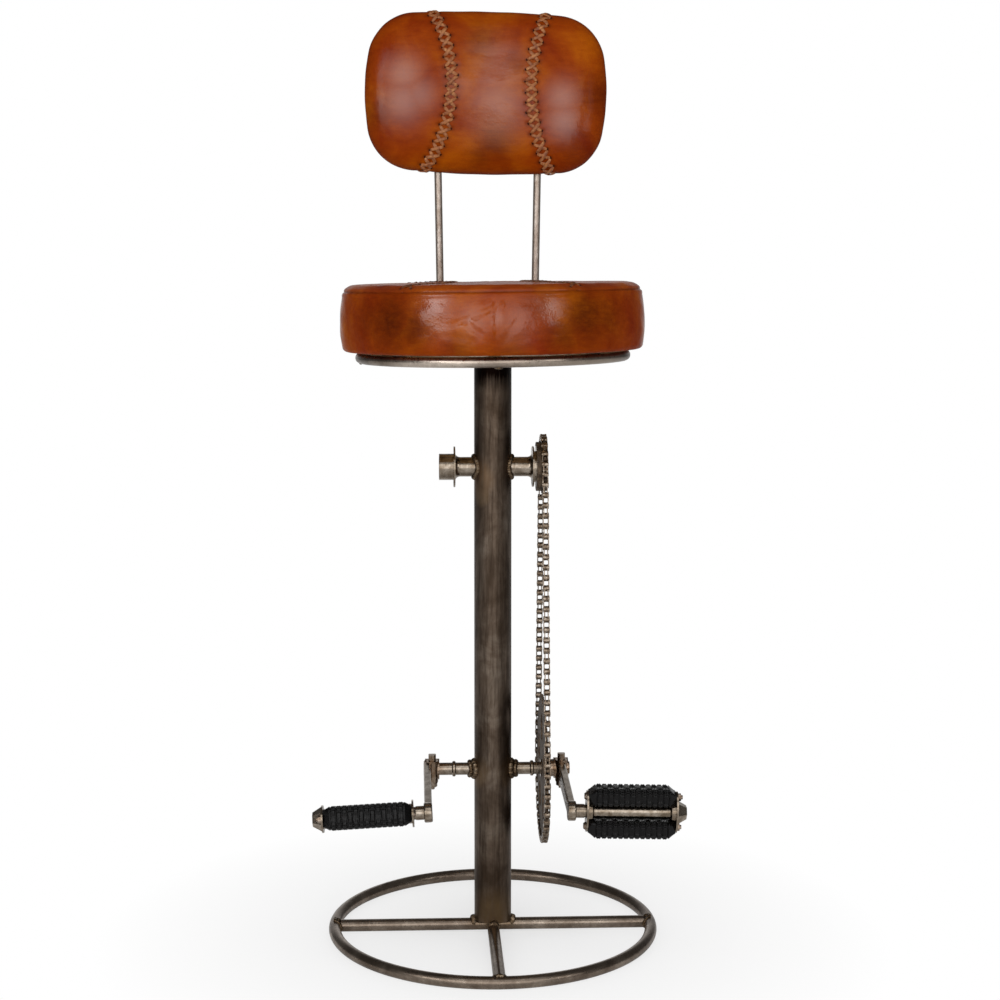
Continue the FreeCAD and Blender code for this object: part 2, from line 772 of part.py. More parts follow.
def make_clip(height, frame):
    """Saddle strap over a rod, with an ear on each side against the board's back."""
    rod = value("backrestRodDiameter / 2")
    thick = value("clipThickness")
    wide = value("clipWidth")
    ear = value("clipEar")
    low = Vector(0, 0, height - wide / 2)
    strap = Part.makeCylinder(rod + thick, wide, low)
    strap = strap.fuse(Part.makeBox(2 * (rod + ear), thick, wide, Vector(-rod - ear, -rod, low.z)))
    front = Part.makeBox(4 * (rod + ear), 2 * rod, wide, Vector(-2 * (rod + ear), -3 * rod, low.z))
    mouth = Part.makeBox(2 * rod, 2 * rod, wide, Vector(-rod, -2 * rod, low.z))
    strap = strap.cut([Part.makeCylinder(rod, wide, low), front, mouth])
    screw = make_screw(value("clipScrewDiameter"), thick, value("clipScrewReach"))
    screws = []
    for side in (-1, 1):
        across = side * (rod + thick + (ear - thick) / 2)
        into = Placement(Vector(across, -rod + thick, height), directions["-Y"])
        screws.append(placed(screw, into))
    holes = [Part.makeCylinder(value("clipScrewDiameter") / 2, thick,
                               Vector(item.Placement.Base.x, -rod, height), Vector(0, 1, 0))
             for item in screws]
    strap = strap.cut(holes)
    for item in [strap] + screws:
        item.Placement = frame.multiply(item.Placement)
    return strap, screws


def make_backrest():
    rods = {}
    clips = []
    screws = []
    weld_balls = []
    for side, name in ((-1, "left"), (1, "right")):
        frame = rod_frame(side)
        rods[side] = sub_part("backrest_rod_" + name, make_rod(frame))
        for height in (value("clipHeightLow"), value("clipHeightHigh")):
            strap, pair = make_clip(height, frame)
            clips.append(strap)
            screws += pair
        cross = sqrt(value("seatRingDiameter / 2") ** 2 - frame.Base.x ** 2)
        ball = Part.makeSphere(value("backrestWeldRadius"),
                               Vector(frame.Base.x, cross, frame.Base.z + value("backrestRodDiameter / 2")))
        weld_balls.append(ball)
    clip_set = sub_part("backrest_clips", shaped("backrestClips", Part.makeCompound(clips)))
    screw_set = sub_part("backrest_screws", shaped("backrestScrews", Part.makeCompound(screws)))
    welds = shaped("backrestWeldBalls", Part.makeCompound(weld_balls))
    seat_ring = next(item for item in nodes if item.Label == "seat_ring")
    sub_part("backrest_rod_welds", cut(welds, seat_ring, rods[-1], rods[1]))

    leather = value("leatherThickness")
    outer = shaped("backrestOutside", pillow(0), backrest_frame)
    inner = shaped("backrestInside", pillow(leather), backrest_frame)
    back = value("backrestRodSetback - backrestRodDiameter / 2")
    thick = value("backrestBoardThickness")
    board_wire = pillow_outline(value("backrestBoardInset"), back - thick)
    board_shape = Part.Face(board_wire).extrude(Vector(0, thick, 0))
    board_block = shaped("backrestBoardBlock", board_shape, backrest_frame)
    sub_part("backrest_board", cut(board_block, screw_set))

    # Round pieces lie in channels of the foam with a little air around them
    channels = []
    for side in (-1, 1):
        radius = "backrestRodDiameter / 2 + softClearance"
        channel = cylinder("foamChannel", radius, "backrestRodHeight + softClearance")
        channels.append(group(channel, frame=rod_frame(side)))
    pads = []
    for side in (-1, 1):
        for height in ("clipHeightLow", "clipHeightHigh"):
            reach = "backrestRodDiameter / 2 + clipEar + softClearance"
            rod = "backrestRodDiameter / 2"
            deep = "backrestRodDiameter / 2 + clipThickness + softClearance"
            half = "(clipWidth / 2 + softClearance)"
            pocket_box = box("foamPocket", (f"-({reach})", f"-({rod})", f"{height} - {half}"),
                             (reach, deep, f"{height} + {half}"))
            pads.append(group(pocket_box, frame=rod_frame(side)))
    sub_part("backrest_foam", cut(inner, board_block, *channels, *pads))

    rod_holes = []
    for side in (-1, 1):
        hole = cylinder("coverRodHole", "backrestRodDiameter / 2 + softClearance",
                        "backrestRodHeight - backrestRodBend", (0, 0, "backrestRodBend"))
        rod_holes.append(group(hole, frame=rod_frame(side)))
    skin = cut(outer, inner, *rod_holes)
    sides = []
    gaps = []
    deep = "2 * backrestThickness"
    for side, seam_name in ((-1, "backrestSeamLeft"), (1, "backrestSeamRight")):
        centre = f"{side} * ({seam_name} + {seam_name}Curve)"
        for pieces, radius in ((sides, f"{seam_name}Curve - seamGap / 2"),
                               (gaps, f"{seam_name}Curve + seamGap / 2")):
            at = (centre, "-backrestThickness", f"{seam_name}Rise")
            pillar = cylinder("backPanelSpace", radius, deep, at, "Y")
            pieces.append(group(pillar, frame=backrest_frame))
    sub_part("backrest_cover_middle", cut(skin, *gaps))
    sub_part("backrest_cover_sides", *[common(skin, pillar) for pillar in sides])


# Hub, freewheel and chain wheels

hub_ends = {
    -1: ("hubLeftFlangePlace", "hubLeftThreadLength", "hubLeftThreadDiameter / 2"),
    1: ("hubFlangePlace", "hubThreadLength", "hubThreadDiameter / 2"),
}


def make_hub_half(side):
    """Half a hub shell: neck, hollow flare, spoke flange and threaded end with a bearing cup."""
    flange, thread_length, thread = hub_ends[side]
    thread_start = f"{flange} + hubFlangeThickness"
    end = f"{thread_start} + {thread_length}"
    outline = [
        ("postDiameter / 4", "hubBore / 2"),
        ("postDiameter / 4", "hubNeckDiameter / 2"),
    ]
    for step in range(round(value("hubFlareSteps")) + 1):
        turn = f"90 * {step} / hubFlareSteps"
        outline.append((f"{flange} - hubFlareRadius * (1 - sin({turn}))",
                        f"hubNeckDiameter / 2 + hubFlareRadius * (1 - cos({turn}))"))
    outline += [
        (flange, "hubFlangeDiameter / 2"),
        (thread_start, "hubFlangeDiameter / 2"),
        (thread_start, thread),
        (end, thread),
        (end, "hubCupDiameter / 2"),
        (f"{end} - hubCupDepth", "hubCupDiameter / 2"),
        (f"{end} - hubCupDepth", "hubBore / 2"),
    ]
    body = turned_body("hubHalf", [(f"{side} * ({x})", radius) for x, radius in outline])
    sketch = new_sketch(body, "YZ_Plane", f"{side} * ({flange} + hubFlangeThickness / 2)")
    draw_circle(sketch, "hubSpokeHoleDiameter / 2", 0, "hubFlangeDiameter / 2 - hubSpokeInset")
    hole = pocket(body, sketch, "hubFlangeThickness + toolOverrun")
    polar_pattern(body, [hole], "hubSpokeHoles")
    place(body, (0, 0, hub_height))
    return cut(body, cylinder("hubPostSpace", "postDiameter / 2", "postDiameter * 2",
                              (0, 0, f"{hub_height} - postDiameter")))


def collar_beads(name, radius, leg, height):
    """Cone shaped weld beads round a shaft where it meets both sides of the post."""
    beads = []
    for side, along in ((-1, "-X"), (1, "X")):
        start = f"{side} * (postDiameter / 2 - {leg})"
        beads.append(cone(name, f"{radius} + {leg}", f"{radius} + {leg} / 8", f"2 * {leg}",
                          (start, 0, height), along))
    space = cylinder(name + "Post", "postDiameter / 2", "postDiameter * 2",
                     (0, 0, f"{height} - postDiameter"))
    shaft = cylinder(name + "Shaft", radius, "postDiameter * 2", ("-postDiameter", 0, height), "X")
    return cut(group(*beads), space, shaft)


def toothed_wheel(name, teeth, pitch_radius, body_radius, bore, first):
    """Wheel with a rounded seat for each roller; first is the side of its first seat."""
    body = new_body(name)
    blank = new_sketch(body, "YZ_Plane", "chainLine")
    draw_circle(blank, f"{pitch_radius} + toothHeight")
    draw_circle(blank, bore)
    pad(body, blank, "toothThickness")
    seat = new_sketch(body, "YZ_Plane", "chainLine")
    draw_circle(seat, "chainRollerDiameter / 2 + chainFit", 0, f"{first} * {pitch_radius}")
    round_cut = pocket(body, seat, "toothThickness + toolOverrun")
    flare = new_sketch(body, "YZ_Plane", "chainLine")
    half = "chainRollerDiameter / 2 + chainFit"
    outside = f"{first} * ({pitch_radius} + toothHeight + toolOverrun)"
    draw_polygon(flare, [
        (f"-({half})", f"{first} * {pitch_radius}"),
        (half, f"{first} * {pitch_radius}"),
        (f"{half} + toothFlare", outside),
        (f"-({half} + toothFlare)", outside),
    ])
    open_cut = pocket(body, flare, "toothThickness + toolOverrun")
    polar_pattern(body, [round_cut, open_cut], teeth)
    return body


def make_hub():
    left = sub_part("hub_half_left", make_hub_half(-1))
    right = sub_part("hub_half_right", make_hub_half(1))
    sub_part("hub_welds", collar_beads("hubBead", "hubNeckDiameter / 2", "hubWeldLeg", hub_height))
    return left, right


def make_freewheel():
    """Toothed body on two rows of balls around a core screwed onto the hub."""
    start = "(hubFlangePlace + hubFlangeThickness + softClearance)"
    end = f"({start} + freewheelWidth)"
    bore = "(hubThreadDiameter / 2 + freewheelFit)"
    ball = "freewheelBallDiameter / 2"
    inner_race = f"(freewheelRaceDiameter / 2 - {ball} - chainFit)"
    outer_race = f"(freewheelRaceDiameter / 2 + {ball} + chainFit)"
    lip = "freewheelLockThickness"
    neck = "freewheelNeckDiameter / 2"
    body_start = f"({start} + freewheelNeckLength)"
    core = turned_body("freewheelCore", [
        (start, bore), (start, neck), (body_start, neck), (body_start, f"{outer_race} - chainFit"),
        (f"{body_start} + {lip}", f"{outer_race} - chainFit"), (f"{body_start} + {lip}", inner_race),
        (f"{end} - {lip}", inner_race), (f"{end} - {lip}", bore),
    ])
    sub_part("freewheel_core", place(core, (0, 0, hub_height)))
    lock = turned_body("freewheelLock", [
        (f"{end} - {lip}", bore), (f"{end} - {lip}", f"{outer_race} - chainFit"),
        (end, f"{outer_race} - chainFit - {lip} / 2"), (end, bore),
    ])
    sketch = new_sketch(lock, "YZ_Plane", f"{end}")
    draw_circle(sketch, "freewheelPinHoleDiameter / 2", 0, f"({bore} + {outer_race}) / 2")
    hole = pocket(lock, sketch, f"{lip} * 3")
    polar_pattern(lock, [hole], 2)
    sub_part("freewheel_lock_ring", place(lock, (0, 0, hub_height)))

    wheel = toothed_wheel("sprocket", "sprocketTeeth", sprocket_pitch_radius,
                          "freewheelBodyDiameter / 2", outer_race, 1)
    ring = turned_body("freewheelBody", [
        (f"{body_start} + softClearance", outer_race),
        (f"{body_start} + softClearance", "freewheelBodyDiameter / 2 - softClearance"),
        (f"{end} - softClearance", "freewheelBodyDiameter / 2 - softClearance"),
        (f"{end} - softClearance", outer_race),
    ])
    sub_part("freewheel_sprocket", place(fuse(wheel, ring), (0, 0, hub_height)))

    pitch = value("freewheelRaceDiameter / 2")
    count = floor(pi * pitch / value(f"{ball} + chainFit"))
    balls = []
    first_row = value(f"{body_start} + {lip} + {ball} + chainFit")
    second_row = value(f"{end} - {lip} - {ball} - chainFit")
    for x in (first_row, second_row):
        for index in range(count):
            angle = 2 * pi * index / count
            centre = Vector(x, pitch * cos(angle), value(hub_height) + pitch * sin(angle))
            balls.append(Part.makeSphere(value(ball), centre))
    sub_part("freewheel_balls", shaped("freewheelBalls", Part.makeCompound(balls)))


# Chain

def chain_pins():
    """Pin centres (y, z) in order, up the front strand, over the hub and down the rear."""
    ring_radius = value(chainring_pitch_radius)
    hub_radius = value(sprocket_pitch_radius)
    wrap = round(value(chainring_wrap))
    over = round(value(sprocket_wrap))
    strand = round(value("chainStrandLinks"))
    low = value("spindleHeight")
    high = value(hub_height)
    pins = []
    for index in range(-wrap, wrap + 1):
        angle = -2 * pi * index / value("chainringTeeth")
        pins.append((ring_radius * sin(angle), low - ring_radius * cos(angle)))
    # The list so far ends on the front side; a straight strand rises to the sprocket
    top = []
    for index in range(-over, over + 1):
        angle = 2 * pi * index / value("sprocketTeeth")
        top.append((hub_radius * sin(angle), high + hub_radius * cos(angle)))
    pins += strand_between(pins[-1], top[0], strand)
    pins += top
    pins += strand_between(top[-1], pins[0], strand)
    return pins


def strand_between(first, last, links):
    """The pins strictly between two ends of a straight strand."""
    steps = [index / links for index in range(1, links)]
    return [(first[0] + (last[0] - first[0]) * step, first[1] + (last[1] - first[1]) * step)
            for step in steps]


def chain_plate(pitch, height, low, thick, hole):
    """One figure-eight link plate between x = low and low + thick, from y = 0 to the pitch."""
    ends = [Part.makeCylinder(height / 2, thick, Vector(low, y, 0), Vector(1, 0, 0)) for y in (0, pitch)]
    waist = Part.makeBox(thick, pitch, height * 0.8, Vector(low, 0, -height * 0.4))
    plate = waist.fuse(ends)
    if hole:
        plate = plate.cut([Part.makeCylinder(hole, thick, Vector(low, y, 0), Vector(1, 0, 0))
                           for y in (0, pitch)])
    return plate.removeSplitter()


def make_chain():
    pitch = value("chainPitch")
    height = value("chainPlateHeight")
    thick = value("chainPlateThickness")
    inside = value("chainInnerWidth") / 2
    play = value("chainPlay")
    fit = value("chainFit")
    pin = value("chainPinDiameter") / 2
    bush = value("chainBushDiameter") / 2
    outside = inside + thick + play
    end = outside + thick + value("chainPinEnd")
    across = Vector(1, 0, 0)

    outer = chain_plate(pitch, height, outside, thick, 0)
    outer_back = chain_plate(pitch, height, -outside - thick, thick, 0)
    rods = [Part.makeCylinder(pin, 2 * end, Vector(-end, y, 0), across) for y in (0, pitch)]
    outer_link = outer.fuse([outer_back] + rods)
    inner = chain_plate(pitch, height, inside, thick, 0)
    inner_back = chain_plate(pitch, height, -inside - thick, thick, 0)
    bushes = [Part.makeCylinder(bush, 2 * inside, Vector(-inside, y, 0), across) for y in (0, pitch)]
    inner_link = inner.fuse([inner_back] + bushes)
    length = 2 * (inside + thick)
    inner_link = inner_link.cut([Part.makeCylinder(pin + fit, length, Vector(-length / 2, y, 0), across)
                                 for y in (0, pitch)])
    roller_length = 2 * (inside - play / 2)
    roller = Part.makeCylinder(value("chainRollerDiameter") / 2, roller_length,
                               Vector(-roller_length / 2, 0, 0), across)
    roller = roller.cut(Part.makeCylinder(bush + fit, roller_length,
                                          Vector(-roller_length / 2, 0, 0), across))

    line = value("chainLine")
    pins = chain_pins()
    links = {0: [], 1: []}
    rollers = []
    for index, (y, z) in enumerate(pins):
        next_y, next_z = pins[(index + 1) % len(pins)]
        step = Vector(0, next_y - y, next_z - z)
        along = Placement(Vector(line, y, z), Rotation(across, 0).multiply(Rotation(Vector(0, 1, 0), step)))
        links[index % 2].append(placed((outer_link, inner_link)[index % 2], along))
        rollers.append(placed(roller, Placement(Vector(line, y, z), Rotation())))
    sub_part("chain_outer_links", shaped("chainOuter", Part.makeCompound(links[0])))
    sub_part("chain_inner_links", shaped("chainInner", Part.makeCompound(links[1])))
    sub_part("chain_rollers", shaped("chainRollers", Part.makeCompound(rollers)))
    print("chain links", len(pins))


# Cranks, spindle and cotters

crank_frame = Placement(Vector(0, 0, value("spindleHeight")), turn((1, 0, 0), value("crankDroop")))
side_names = {-1: "Left", 1: "Right"}


def cotter_height(side):
    """Middle of a crank's boss, along X."""
    return f"{side} * (crankBoss{side_names[side]} + crankBossWidth / 2)"


def make_spindle():
    slope = "spindleRidgeSlope"
    radius = "spindleDiameter / 2"
    ridge = "spindleRidgeDiameter / 2"
    inner = "(spindleRidgePlace - spindleRidgeWidth / 2)"
    outer = "(spindleRidgePlace + spindleRidgeWidth / 2)"
    spindle = turned_body("spindle", [
        ("-spindleEndLeft", 0), ("-spindleEndLeft", radius),
        (f"-({outer} + {slope})", radius), (f"-{outer}", ridge), (f"-{inner}", ridge),
        (f"-({inner} - {slope})", radius), (f"{inner} - {slope}", radius), (inner, ridge),
        (outer, ridge), (f"{outer} + {slope}", radius),
        ("spindleEndRight", radius), ("spindleEndRight", 0),
    ])
    tools = []
    for side in (-1, 1):
        half = "cotterDiameter / 2 + crankFit"
        middle = cotter_height(side)
        tools.append(box("cotterNotch", (f"{middle} - ({half})", "-spindleDiameter", "-spindleDiameter"),
                         (f"{middle} + ({half})", "-cotterFlat", "spindleDiameter")))
    sub_part("crank_spindle", cut(spindle, *tools), frame=crank_frame)
    sub_part("spindle_welds", collar_beads("spindleBead", "spindleDiameter / 2", "spindleWeldLeg",
                                           "spindleHeight"))


def pedal_frame(side):
    """Eye of a crank, with X out along the pedal's spindle and Z square to the pedal's face."""
    name = side_names[side]
    length = value("crankLength")
    droop = radians(value("crankDroop"))
    eye = Vector(side * value("crankPlane" + name), -length * cos(droop),
                 value("spindleHeight") - length * sin(droop))
    lean = turn((0, 1, 0), side * value("pedalDroop" + name))
    facing = turn((0, 0, 1), 0 if side > 0 else 180)
    return Placement(eye, lean.multiply(facing))


def spun_frame(side):
    spin = turn((1, 0, 0), value("pedalSpin" + side_names[side]))
    return pedal_frame(side).multiply(Placement(Vector(), spin))


def make_crank_eye():
    """Ring of the eye with its rims rounded in small steps; its hole is cut to size later."""
    core = "pedalThreadDiameter / 4"
    outline = [("-crankEyeWidth / 2", core)]
    for end, first in ((-1, 0), (1, 90)):
        for step in range(round(value("crankEyeSteps")) + 1):
            turned = f"({first} - {end} * 90 * {step} / crankEyeSteps)"
            outline.append((f"{end} * (crankEyeWidth / 2 - crankEyeRounding * (1 - cos({turned})))",
                            f"crankEyeDiameter / 2 - crankEyeRounding * (1 - sin({turned}))"))
    outline.append(("crankEyeWidth / 2", core))
    return turned_body("crankEye", outline)


def make_crank(side):
    name = side_names[side]
    start = f"crankBoss{name}"
    plane = f"crankPlane{name}"
    along = "X" if side > 0 else "-X"
    offset = "-cotterOffset"
    boss = cylinder("crankBoss", "crankBossDiameter / 2", "crankBossWidth",
                    (f"{side} * {start}", 0, 0), along)
    pad_top = "(crankBossDiameter / 2 + cotterPadProud)"
    cotter_pad = cylinder("cotterPad", "cotterPadDiameter / 2", f"2 * {pad_top}",
                          (cotter_height(side), offset, f"-{pad_top}"))
    arm = new_body("crankArm")
    sketch = new_sketch(arm, "YZ_Plane", f"{side} * {plane}")
    draw_polygon(sketch, [
        (0, "-crankArmWide / 2"), ("-crankLength", "-crankArmNarrow / 2"),
        ("-crankLength", "crankArmNarrow / 2"), (0, "crankArmWide / 2"),
    ])
    slab = pad(arm, sketch, "crankArmThickness")
    doc.recompute()
    edges = [f"Edge{number}" for number, edge in enumerate(slab.Shape.Edges, start=1)
             if edge.Length > value("crankLength") * 0.9]
    rounding = arm.newObject("PartDesign::Fillet", "crankArmFillet")
    rounding.Base = (slab, edges)
    bind(rounding, Radius="crankArmEdge")
    pieces = [boss, cotter_pad, arm]
    if side > 0:
        neck_start = "(chainLine - toothThickness / 2 - chainringRivetRim)"
        pieces.append(cylinder("chainringNeck", "chainringNeckDiameter / 2",
                               f"crankBossRight - {neck_start} + toolOverrun", (neck_start, 0, 0), "X"))
        pieces.append(cylinder("chainringShoulder", "chainringShoulderDiameter / 2",
                               "chainringShoulderThickness", ("chainLine + toothThickness / 2", 0, 0), "X"))
    lever = fuse(*pieces)
    lever.Placement = crank_frame
    crank = fuse(lever, group(make_crank_eye(), frame=pedal_frame(side)))

    bore = cylinder("crankBore", "spindleDiameter / 2 + crankFit", "crankBossWidth * 4",
                    (f"{side} * ({start} - crankBossWidth * 2)", 0, 0), along)
    cotter_hole = cylinder("cotterHole", "cotterDiameter / 2 + crankFit", "crankBossDiameter * 2",
                           (cotter_height(side), offset, "-crankBossDiameter"))
    eye_hole = cylinder("eyeHole", "pedalThreadDiameter / 2 + crankFit", "crankEyeWidth * 4",
                        ("-crankEyeWidth * 2", 0, 0), "X")
    crank = cut(crank, group(bore, frame=crank_frame), group(cotter_hole, frame=crank_frame),
                group(eye_hole, frame=pedal_frame(side)))
    sub_part("crank_" + name.lower(), crank)


def make_cotters():
    """Pin with a flat against the spindle, a washer under the boss and a nut."""
    pins = []
    washers = []
    nuts = []
    seat = "(crankBossDiameter / 2 + cotterPadProud)"
    offset = "-cotterOffset"
    for side in (-1, 1):
        x = cotter_height(side)
        shank = cylinder("cotterShank", "cotterDiameter / 2", f"{seat} * 2 + cotterHeadProud",
                         (x, offset, f"-{seat}"))
        flat = box("cotterFlatCut", (f"{x} - cotterDiameter", "-cotterFlat", "-crankBossDiameter"),
                   (f"{x} + cotterDiameter", "cotterDiameter", "crankBossDiameter"))
        thread = cylinder("cotterThread", "cotterThreadDiameter / 2", "cotterThreadLength",
                          (x, offset, f"-{seat} - cotterThreadLength"))
        pins.append(fuse(cut(shank, flat), thread))
        washer = cylinder("cotterWasher", "cotterWasherDiameter / 2", "cotterWasherThickness",
                          (x, offset, f"-{seat} - cotterWasherThickness"))
        nut = prism("cotterNut", "cotterNutAcross", "cotterNutThickness",
                    (x, offset, f"-{seat} - cotterWasherThickness - cotterNutThickness"))
        hole = cylinder("cotterNutHole", "cotterThreadDiameter / 2 + crankFit", "crankBossDiameter * 2",
                        (x, offset, "-crankBossDiameter * 2"))
        washers.append(cut(washer, hole))
        nuts.append(cut(nut, hole))
    sub_part("cotter_pins", *pins, frame=crank_frame)
    sub_part("cotter_nuts", *nuts, *washers, frame=crank_frame)


def make_chainring():
    wheel = toothed_wheel("chainring", "chainringTeeth", chainring_pitch_radius, 0,
                          "chainringNeckDiameter / 2", -1)
    sketch = new_sketch(wheel, "YZ_Plane", "chainLine")
    draw_circle(sketch, "chainringWindowDiameter / 2", 0, "chainringWindowPlace")
    window = pocket(wheel, sketch, "toothThickness + toolOverrun")
    polar_pattern(wheel, [window], "chainringWindows")
    sub_part("chainring", place(wheel, (0, 0, "spindleHeight")))


# Pedals: X runs out from the crank eye, the blocks lie on both sides along Y

pedal_inner = "(crankEyeWidth / 2 + pedalStandOff)"
pedal_start = f"({pedal_inner} + pedalPlateThickness)"
pedal_end = f"({pedal_start} + pedalBlockLength)"
pedal_outer = f"({pedal_end} + pedalPlateThickness)"
pedal_race = "(pedalCupDiameter / 2 - pedalCupWall - pedalBallDiameter / 2 - chainFit)"


def make_pedal_spindle(side):
    """Threaded end in the crank, collar with flats, and a shaft through the barrel."""
    shaft = "pedalShaftDiameter / 2"
    cone_end = f"({pedal_end} + pedalConeLength)"
    lock_end = f"({cone_end} + pedalLockThickness)"
    thread = "pedalThreadDiameter / 2"
    eye = "crankEyeWidth / 2"
    collar = "pedalCollarDiameter / 2"
    collar_end = f"({eye} + pedalCollarLength)"
    spindle = turned_body("pedalSpindle", [
        (f"-({eye})", 0), (f"-({eye})", thread), (eye, thread), (eye, collar),
        (collar_end, collar), (collar_end, "pedalConeDiameter / 2"),
        (pedal_start, "pedalConeDiameter / 2"), (pedal_start, shaft),
        (f"{lock_end} + pedalBoltEnd / 2", shaft), (f"{lock_end} + pedalBoltEnd / 2", 0),
    ])
    name = side_names[side].lower()
    sub_part("pedal_spindle_" + name, spindle, frame=pedal_frame(side))
    ring = cylinder("pedalCone", "pedalConeDiameter / 2", "pedalConeLength", (pedal_end, 0, 0), "X")
    nut = prism("pedalLock", "pedalLockAcross", "pedalLockThickness", (cone_end, 0, 0), "X")
    hole = cylinder("pedalLockHole", f"{shaft} + chainFit", "pedalBlockLength", (pedal_end, 0, 0), "X")
    return (group(cut(ring, hole), frame=pedal_frame(side)), group(cut(nut, hole), frame=pedal_frame(side)))


def make_pedal_barrel(frame, name):
    cup = "pedalCupDiameter / 2"
    cup_bore = "(pedalCupDiameter / 2 - pedalCupWall)"
    tube = "pedalBarrelDiameter / 2"
    tube_bore = "(pedalBarrelDiameter / 2 - pedalBarrelWall)"
    barrel = turned_body("pedalBarrel", [
        (pedal_start, cup_bore), (pedal_start, cup),
        (f"{pedal_start} + pedalCupLength", cup), (f"{pedal_start} + pedalCupLength + pedalCupWall", tube),
        (f"{pedal_end} - pedalCupLength - pedalCupWall", tube), (f"{pedal_end} - pedalCupLength", cup),
        (pedal_end, cup), (pedal_end, cup_bore),
        (f"{pedal_end} - pedalCupLength", cup_bore), (f"{pedal_end} - pedalCupLength", tube_bore),
        (f"{pedal_start} + pedalCupLength", tube_bore), (f"{pedal_start} + pedalCupLength", cup_bore),
    ])
    sub_part(name + "_pedal_barrel", barrel, frame=frame)

    race = value(pedal_race)
    radius = value("pedalBallDiameter / 2")
    inset = value("pedalCupLength / 2")
    balls = []
    count = round(value("pedalBalls"))
    for x in (value(pedal_start) + inset, value(pedal_end) - inset):
        for index in range(count):
            angle = 2 * pi * index / count
            balls.append(Part.makeSphere(radius, Vector(x, race * cos(angle), race * sin(angle))))
    sub_part(name + "_pedal_balls", shaped("pedalBallSet", Part.makeCompound(balls), frame))


def make_pedal_plate(start, bore):
    """Oval end plate with a hole for the bearing and one for each bolt."""
    oval = doc.addObject("Part::Ellipse", "plateOval")
    bind(oval, MajorRadius="pedalPlateLength / 2", MinorRadius="pedalPlateHeight / 2")
    plate = doc.addObject("Part::Extrusion", "pedalPlate")
    plate.Base = oval
    plate.DirMode = "Normal"
    plate.Solid = True
    bind(plate, LengthFwd="pedalPlateThickness")
    upright = Rotation(Vector(0, 1, 0), Vector(0, 0, 1), Vector(1, 0, 0), "ZXY")
    plate.Placement = Placement(Vector(), upright)
    plate.setExpression("Placement.Base.x", tied(start))
    holes = [cylinder("plateBore", bore, "pedalBlockLength", (f"{start} - toolOverrun", 0, 0), "X")]
    for side in (-1, 1):
        holes.append(cylinder("plateBoltHole", "pedalBoltDiameter / 2 + chainFit", "pedalBlockLength",
                              (f"{start} - toolOverrun", f"{side} * pedalBoltPlace", 0), "X"))
    return cut(plate, *holes)


def ribbed_profile(length, low, high, low_bevel, high_bevel):
    """Outline (along, across) of a block with V grooves between its ribs on both long sides."""
    ribs = round(value("pedalRibs"))
    depth = value("pedalRibDepth")

    def ribbed_side(level, bevel, inward):
        rib = (length - 2 * bevel) / ribs
        points = []
        for index in range(ribs):
            start = bevel + index * rib
            points.append((start + rib / 6, level))
            points.append((start + rib * 5 / 6, level))
            if index < ribs - 1:
                points.append((start + rib, level + inward * depth))
        return points

    bottom = [(0, low + low_bevel)] + ribbed_side(low, low_bevel, 1) + [(length, low + low_bevel)]
    top = [(0, high - high_bevel)] + ribbed_side(high, high_bevel, -1) + [(length, high - high_bevel)]
    return bottom + top[::-1]


def make_rubber(side):
    """Ribbed block: what is common to its outline from above and its outline from the side."""
    length = value("pedalBlockLength")
    low = value("pedalBlockGap / 2")
    high = low + value("pedalBlockWidth")
    half = value("pedalBlockHeight / 2")
    bevel = value("pedalBlockFaceBevel")
    plan = ribbed_profile(length, low, high, value("pedalBlockInnerBevel"), value("pedalBlockOuterBevel"))
    face = ribbed_profile(length, -half, half, bevel, bevel)
    plan_wire = Part.makePolygon([Vector(x, side * y, -half * 2) for x, y in plan + plan[:1]])
    face_wire = Part.makePolygon([Vector(x, 0, y) for x, y in face + face[:1]])
    seen_above = Part.Face(plan_wire).extrude(Vector(0, 0, half * 4))
    seen_beside = Part.Face(face_wire).extrude(Vector(0, side * high * 2, 0))
    block = seen_above.common(seen_beside)
    hole = value("pedalBoltDiameter / 2 + chainFit")
    bolt = Part.makeCylinder(hole, length, Vector(0, side * value("pedalBoltPlace"), 0), Vector(1, 0, 0))
    block = block.cut(bolt)
    block.translate(Vector(value(pedal_start), 0, 0))
    return block.Solids[0]


def make_pedal_cap():
    """Six sided dust cap, hollow over the cone and lock nut."""
    faces = []
    for width, x in (("pedalCapBase", pedal_outer), ("pedalCapEnd", f"{pedal_outer} + pedalCapLength")):
        outline = doc.addObject("Part::RegularPolygon", "capOutline")
        outline.Polygon = 6
        bind(outline, Circumradius=f"{width} / 2")
        faces.append(place(outline, (x, 0, 0), "X"))
    cap = doc.addObject("Part::Loft", "pedalCap")
    cap.Sections = faces
    cap.Solid = True
    cap.Ruled = True
    hollow = cylinder("capHollow", "pedalCapBore / 2", "pedalCapLength - pedalCapWall + toolOverrun",
                      (f"{pedal_outer} - toolOverrun", 0, 0), "X")
    return cut(cap, hollow)


